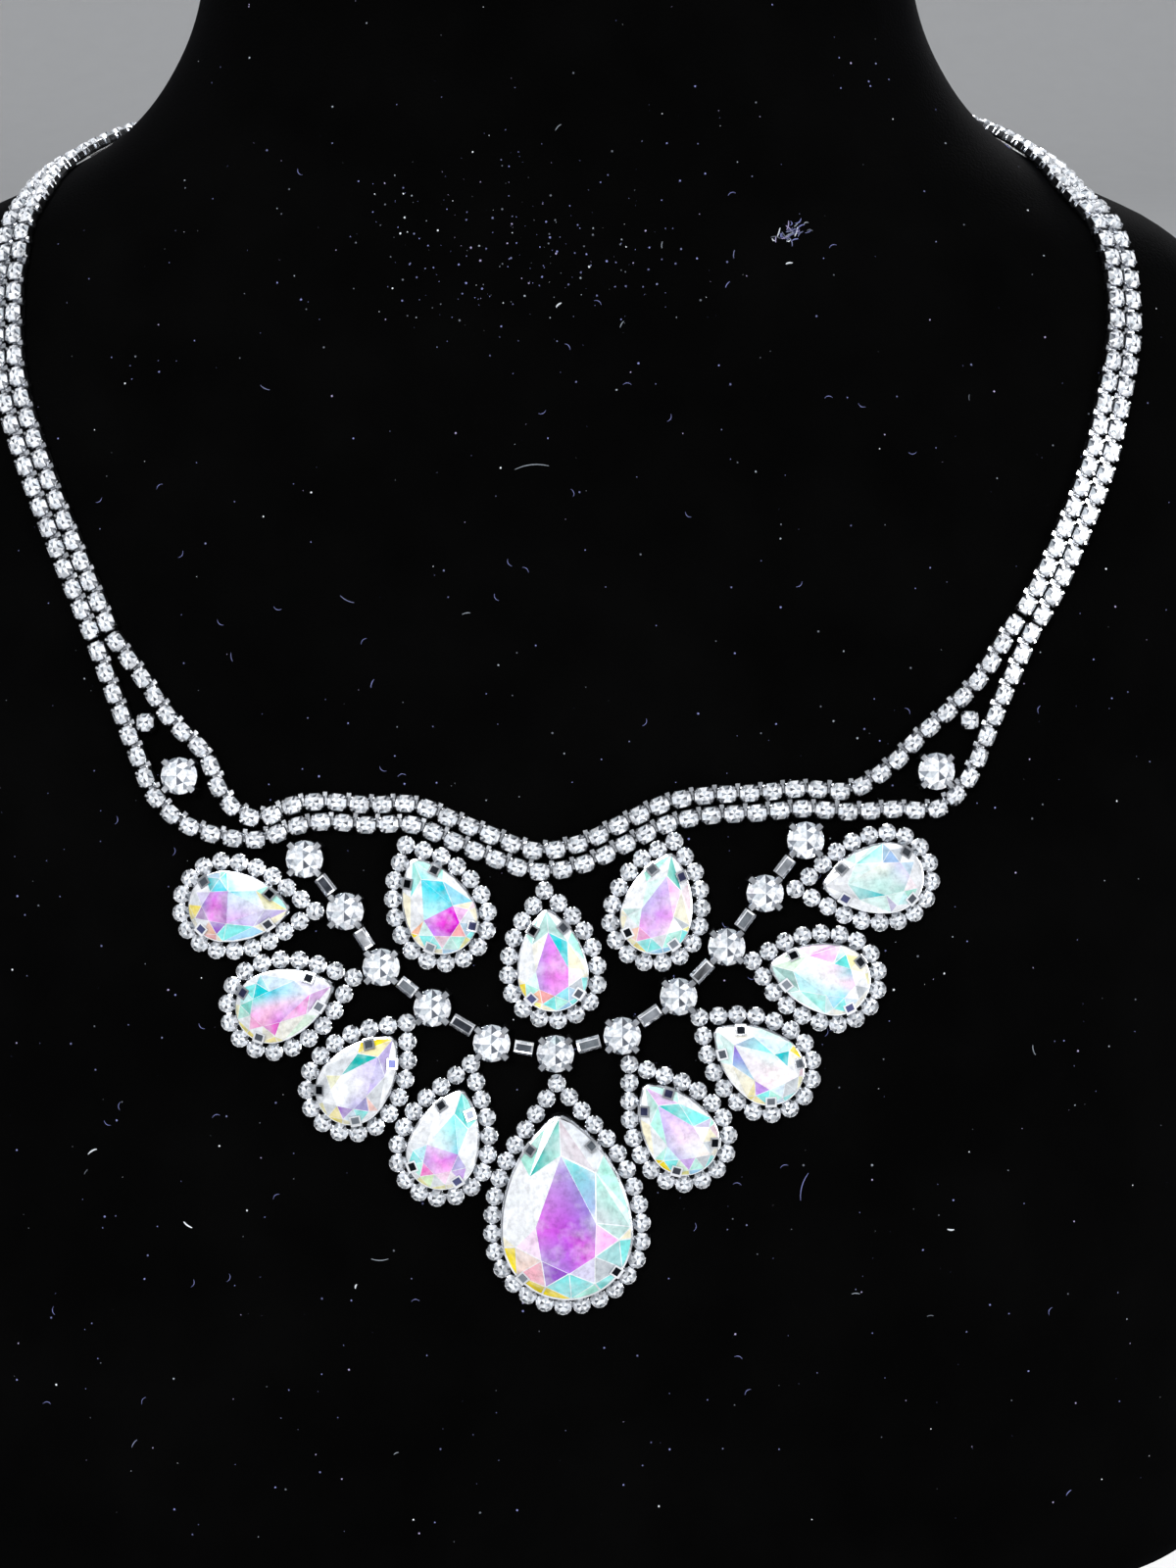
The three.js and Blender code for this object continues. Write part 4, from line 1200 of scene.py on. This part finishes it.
def pears():
    """Each pear stone in its setting, and the chain of stones round it."""
    stone = round_cup_stone()
    for seed, (name, (size, out, up, tip, reach)) in enumerate(pear_frames().items(), 71):
        origin, axes = seats(*on_chest([(out, up)]), tip)
        joined = Joined()
        tab_reflections = [TAB_FACE_REFLECTIONS[(4 * seed + k) % len(TAB_FACE_REFLECTIONS)] for k in range(len(TAB_PLACES))]
        joined.stamp(pear_shape(name, size, tip, tab_reflections), origin, axes, sparkle(seed, low=0.9))
        finished(joined.make(f"pear_{name}_stone", [COATED, METAL]), "pear_crystal", f"pear_{name}")
        places, turns, pitch = halo_frames(size, reach)
        flat = np.column_stack([places, np.zeros(len(places))])
        origins = origin + flat @ axes[0].T
        frames = turned(np.repeat(axes, len(turns), axis=0), turns)
        chain = Joined()
        chain.stamp(stone, *spun(origins, frames, seed), sparkle(seed))
        link = link_shape(pitch - HALO["stone"] + 0.5, wide=0.6, low=0.3, high=0.8)
        middles = (origins + np.roll(origins, -1, axis=0)) / 2
        chain.stamp(link, middles, frames)
        finished(chain.make(f"halo_{name}_chain", [CLEAR, METAL]), "chain_stones", f"halo_{name}")


# Bust

BUST_AROUND = 220
BUST_LEVELS = 170
# How far the inner ring of the flat top and base lies inside their edge, as a share.
CAP_RING = 2.5 / 60


def neck_bust():
    """The velvet bust as one fine surface, closed by its flat top and base."""
    z = np.linspace(0, BUST_HEIGHT, BUST_LEVELS)
    around = np.arange(BUST_AROUND) / BUST_AROUND * 2 * math.pi
    grid = bust_point(around[None, :], z[:, None])
    shape = Shape()
    rings = [shape.add(row) for row in grid]
    for low, high in zip(rings, rings[1:]):
        shape.band(low, high)
    for row, level, flip in ((grid[-1], BUST_HEIGHT, 1), (grid[0], 0.0, -1)):
        middle = np.array([0, row[:, 1].mean(), level])
        inner = shape.add(middle + (row - middle) * (1 - CAP_RING))
        (centre,) = shape.add([middle])
        outer = rings[-1] if flip > 0 else rings[0]
        for i in range(BUST_AROUND):
            j = (i + 1) % BUST_AROUND
            quad, tri = [outer[i], outer[j], inner[j], inner[i]], [inner[i], inner[j], centre]
            shape.face(quad[::flip])
            shape.face(tri[::flip])
    joined = Joined()
    joined.stamp(shape, np.zeros((1, 3)), np.eye(3)[None])
    return finished(joined.make("velvet_bust", [VELVET], True), "velvet", "neck_bust")


# Lint

LINT_TINTS = ("slate", "ash", "slate+dark", "lavender+ash", "grey", "slate+ash", "dark+slate", "pearl")
# Places of specks and strands, out from the middle and up from the base: first and last, or, near
# the neck, middle and spread.
SPECKS = {"count": 900, "out": (-85, 85), "up": (8, 215)}
NECK_SPECKS = {"count": 260, "out": (-5, 14), "up": (171, 6)}
STRANDS = {"count": 60, "out": (-70, 70), "up": (20, 190)}
SPECK = {"radius": 0.1, "high": 0.1, "sides": 5}
FIBRE_STEPS = 6
FIBRE_HEIGHT = 0.12
# Fibres by out, up, direction in degrees, length and tint. The pearly ones are thicker.
FIBRES = [
    (-3.2, 46.4, 6, 4.6, "grey"), (-28.0, 28.7, 153, 2.1, "slate+ash"),
    (-12.0, 26.8, 10, 1.1, "grey"), (-24.6, 17.4, 70, 1.2, "slate"),
    (-43.6, 20.7, 100, 1.2, "slate+dark"), (-39.1, 57.0, 153, 1.4, "slate+ash"),
    (0.4, 92.3, 45, 1.1, "grey"), (14.3, 76.3, 85, 0.9, "grey"), (24.0, 75.0, 85, 1.1, "slate+ash"),
    (23.1, 70.9, 55, 1.0, "slate"), (8.9, 65.6, 60, 1.0, "grey"), (31.4, 73.7, 10, 0.9, "pearl"),
    (0.4, 68.2, 40, 0.9, "pearl"), (33.4, -50.2, 74, 3.8, "slate"), (64.8, -33.2, 105, 1.4, "grey"),
    (40.3, -64.7, 0, 1.1, "grey"), (53.2, -56.5, 175, 0.9, "pearl"), (50.4, -68.0, 5, 0.9, "ash"),
    (69.6, -93.6, 45, 1.0, "slate"), (-62.7, -46.7, 30, 1.4, "pearl"),
    (-49.5, -55.7, 145, 1.4, "pearl"), (-63.6, -49.5, 55, 0.8, "ash"),
    (-23.6, -59.8, 180, 2.3, "grey"), (-56.8, -85.5, 55, 1.3, "slate+grey"),
    (-26.8, -63.5, 70, 0.6, "pearl"), (-21.4, -85.9, 25, 0.7, "grey"), (55.9, 55.4, 90, 0.8, "ash"),
]
# One tuft: its middle, direction, length and width as spreads, and number of strands.
FLUFF = {"out": 31.7, "up": 77.9, "turn": 26, "long": 1.3, "wide": 0.55, "count": 36}


def fibre_shape(length, bend, thick, tint):
    """A thin curved fibre along x, three sided, in a few straight steps."""
    shape = Shape()
    rings = []
    for k in range(FIBRE_STEPS + 1):
        t = k / FIBRE_STEPS - 0.5
        x, y = length * t, bend * (0.25 - t * t) * 4
        r = thick * (1 - 1.6 * t * t)
        rings.append(shape.add([(x, y + r * math.cos(a), FIBRE_HEIGHT + r * math.sin(a))
                                for a in (math.pi / 2, math.pi * 7 / 6, math.pi * 11 / 6)]))
    for low, high in zip(rings, rings[1:]):
        shape.band(low, high, tint)
    shape.face(rings[0][::-1], tint)
    shape.face(rings[-1], tint)
    return shape


def strewn(draw, where):
    """Random places, as rows of out and up."""
    return np.column_stack([draw(*where["out"], where["count"]), draw(*where["up"], where["count"])])


def lint():
    """Specks and short fibres caught in the velvet of the front and the neck."""
    random = np.random.default_rng(7)
    joined = Joined()
    specks = []
    for tint in LINT_TINTS:
        speck = Shape()
        (top,) = speck.add([(0, 0, SPECK["high"])])
        base = speck.add(ring(SPECK["radius"], 0.0, SPECK["sides"]))
        for i, corner in enumerate(base):
            speck.face([corner, base[(i + 1) % len(base)], top], tint)
        speck.face(base[::-1], tint)
        specks.append(speck)
    spread = strewn(random.uniform, SPECKS)
    near_neck = strewn(random.normal, NECK_SPECKS)
    for places in (spread, near_neck):
        points, normals = chest_point(*places.T), outward(chest_point, *places.T, 1, 1)
        keep = np.abs(places[:, 0]) < section(places[:, 1])[0] * 0.96
        points, normals = points[keep], normals[keep]
        sizes = random.uniform(0.4, 1.35, len(points)) ** 1.7
        origins, axes = seats(points, normals, random.uniform(0, 360, len(points)), lift=0.0)
        axes = axes * sizes[:, None, None]
        kinds = (random.random(len(points)) ** 1.5 * len(specks)).astype(int)
        for kind, speck in enumerate(specks):
            joined.stamp(speck, origins[kinds == kind], axes[kinds == kind])
    for out, up, turn, length, tint in FIBRES:
        origins, axes = seats(*on_chest([(out, up)]), turn, lift=0.0)
        thick = 0.13 if tint == "pearl" else 0.07
        fibre = fibre_shape(length, bend=length * 0.09, thick=thick, tint=tint)
        joined.stamp(fibre, origins, axes)
    turn = math.radians(FLUFF["turn"])
    for k in range(FLUFF["count"]):
        ahead, aside = random.normal(0, FLUFF["long"]), random.normal(0, FLUFF["wide"])
        place = (FLUFF["out"] + ahead * math.cos(turn) - aside * math.sin(turn),
                 FLUFF["up"] + ahead * math.sin(turn) + aside * math.cos(turn))
        origins, axes = seats(*on_chest([place]), FLUFF["turn"] + random.normal(0, 40), lift=0.0)
        tint = LINT_TINTS[k % len(LINT_TINTS)]
        strand = fibre_shape(random.uniform(0.5, 1.4), bend=random.uniform(-0.25, 0.25),
                             thick=0.09, tint=tint)
        joined.stamp(strand, origins, axes)
    strands = strewn(random.uniform, STRANDS)
    points, normals = chest_point(*strands.T), outward(chest_point, *strands.T, 1, 1)
    origins, axes = seats(points, normals, random.uniform(0, 360, len(points)), lift=0.0)
    joined.stamp(fibre_shape(1.1, bend=0.25, thick=0.05, tint="slate"), origins, axes)
    return finished(joined.make("velvet_lint", [LINT]), "velvet")


# Stage, camera and light

CAMERA_DISTANCE = 300.0
CAMERA_OUT = 4.34
CAMERA_UP = 3.95
VIEW_HEIGHT = 210.5
SENSOR = 36.0
# The point that the lights face, in metres.
LIT_POINT = (0, -0.03, 0.11)


def camera():
    """The camera looks square on to the slope of the chest, as the photograph does."""
    datum = chest_point(0.0, BIB_DATUM)
    out_of_chest = np.array([0, -math.cos(CHEST_SLOPE), math.sin(CHEST_SLOPE)])
    up_chest = np.array([0, math.sin(CHEST_SLOPE), math.cos(CHEST_SLOPE)])
    place = datum + up_chest * CAMERA_UP + out_of_chest * CAMERA_DISTANCE
    place[0] = CAMERA_OUT
    data = bpy.data.cameras.new("camera")
    data.sensor_width = SENSOR
    data.lens = SENSOR * CAMERA_DISTANCE / VIEW_HEIGHT
    data.clip_start = 0.01
    data.clip_end = 50
    seen = bpy.data.objects.new("camera", data)
    bpy.context.scene.collection.objects.link(seen)
    axes = Matrix((Vector((1, 0, 0)), Vector(up_chest), Vector(out_of_chest))).transposed()
    seen.matrix_world = Matrix.Translation(Vector(place * MM)) @ axes.to_4x4()
    bpy.context.scene.camera = seen


# The floor in metres: half its width, its front, its back, and the radius and height of the
# backdrop that it curves up into.
FLOOR = {"half": 4.0, "front": -4.0, "back": 3.0, "curve": 1.0, "high": 3.0, "steps": 12}


def floor():
    """A pale floor that curves up into a backdrop far behind."""
    half, back, curve = FLOOR["half"], FLOOR["back"], FLOOR["curve"]
    profile = [(FLOOR["front"], 0.0)]
    for k in range(FLOOR["steps"] + 1):
        angle = k / FLOOR["steps"] * math.pi / 2
        profile.append((back - curve + curve * math.sin(angle), curve * (1 - math.cos(angle))))
    profile.append((back, FLOOR["high"]))
    mesh = bpy.data.meshes.new("floor")
    points = [(x, y, z) for y, z in profile for x in (-half, half)]
    faces = [(2 * i, 2 * i + 1, 2 * i + 3, 2 * i + 2) for i in range(len(profile) - 1)]
    mesh.from_pydata(points, [], faces)
    mesh.materials.append(plain("pale_floor", 0.72, 0.8, tinted=False))
    for polygon in mesh.polygons:
        polygon.use_smooth = True
    sheet = bpy.data.objects.new("floor", mesh)
    bpy.context.scene.collection.objects.link(sheet)


def area_light(name, place, size, power):
    """A round lamp that faces the necklace, its place and size in metres."""
    data = bpy.data.lights.new(name, "AREA")
    data.shape = "DISK"
    data.size = size
    data.energy = power
    lamp = bpy.data.objects.new(name, data)
    bpy.context.scene.collection.objects.link(lamp)
    lamp.location = place
    aim = Vector(LIT_POINT) - lamp.location
    lamp.rotation_mode = "QUATERNION"
    lamp.rotation_quaternion = aim.to_track_quat("-Z", "Y")


def lighting():
    """A strong key from the left, three softer lamps, and a pale even world."""
    world = bpy.data.worlds.new("studio")
    world.use_nodes = True
    background = world.node_tree.nodes["Background"]
    background.inputs["Color"].default_value = (0.92, 0.95, 1.0, 1)
    background.inputs["Strength"].default_value = 0.4
    bpy.context.scene.world = world
    area_light("key", (-0.35, -0.95, 0.85), size=0.45, power=14)
    area_light("fill", (0.75, -0.75, 0.35), size=0.5, power=5)
    area_light("top", (0.05, -0.15, 1.2), size=0.5, power=6)
    area_light("back", (0.3, 1.1, 0.8), size=0.6, power=12)
    bpy.context.scene.view_settings.view_transform = "Standard"


neck_bust()
pears()
round_stones()
bars()
edge_rows()
bands()
side_stones()
lint()
clasp = frame["nodes"]["clasp"]
clasp.data.materials.clear()
clasp.data.materials.append(CLASP_METAL)
camera()
floor()
lighting()
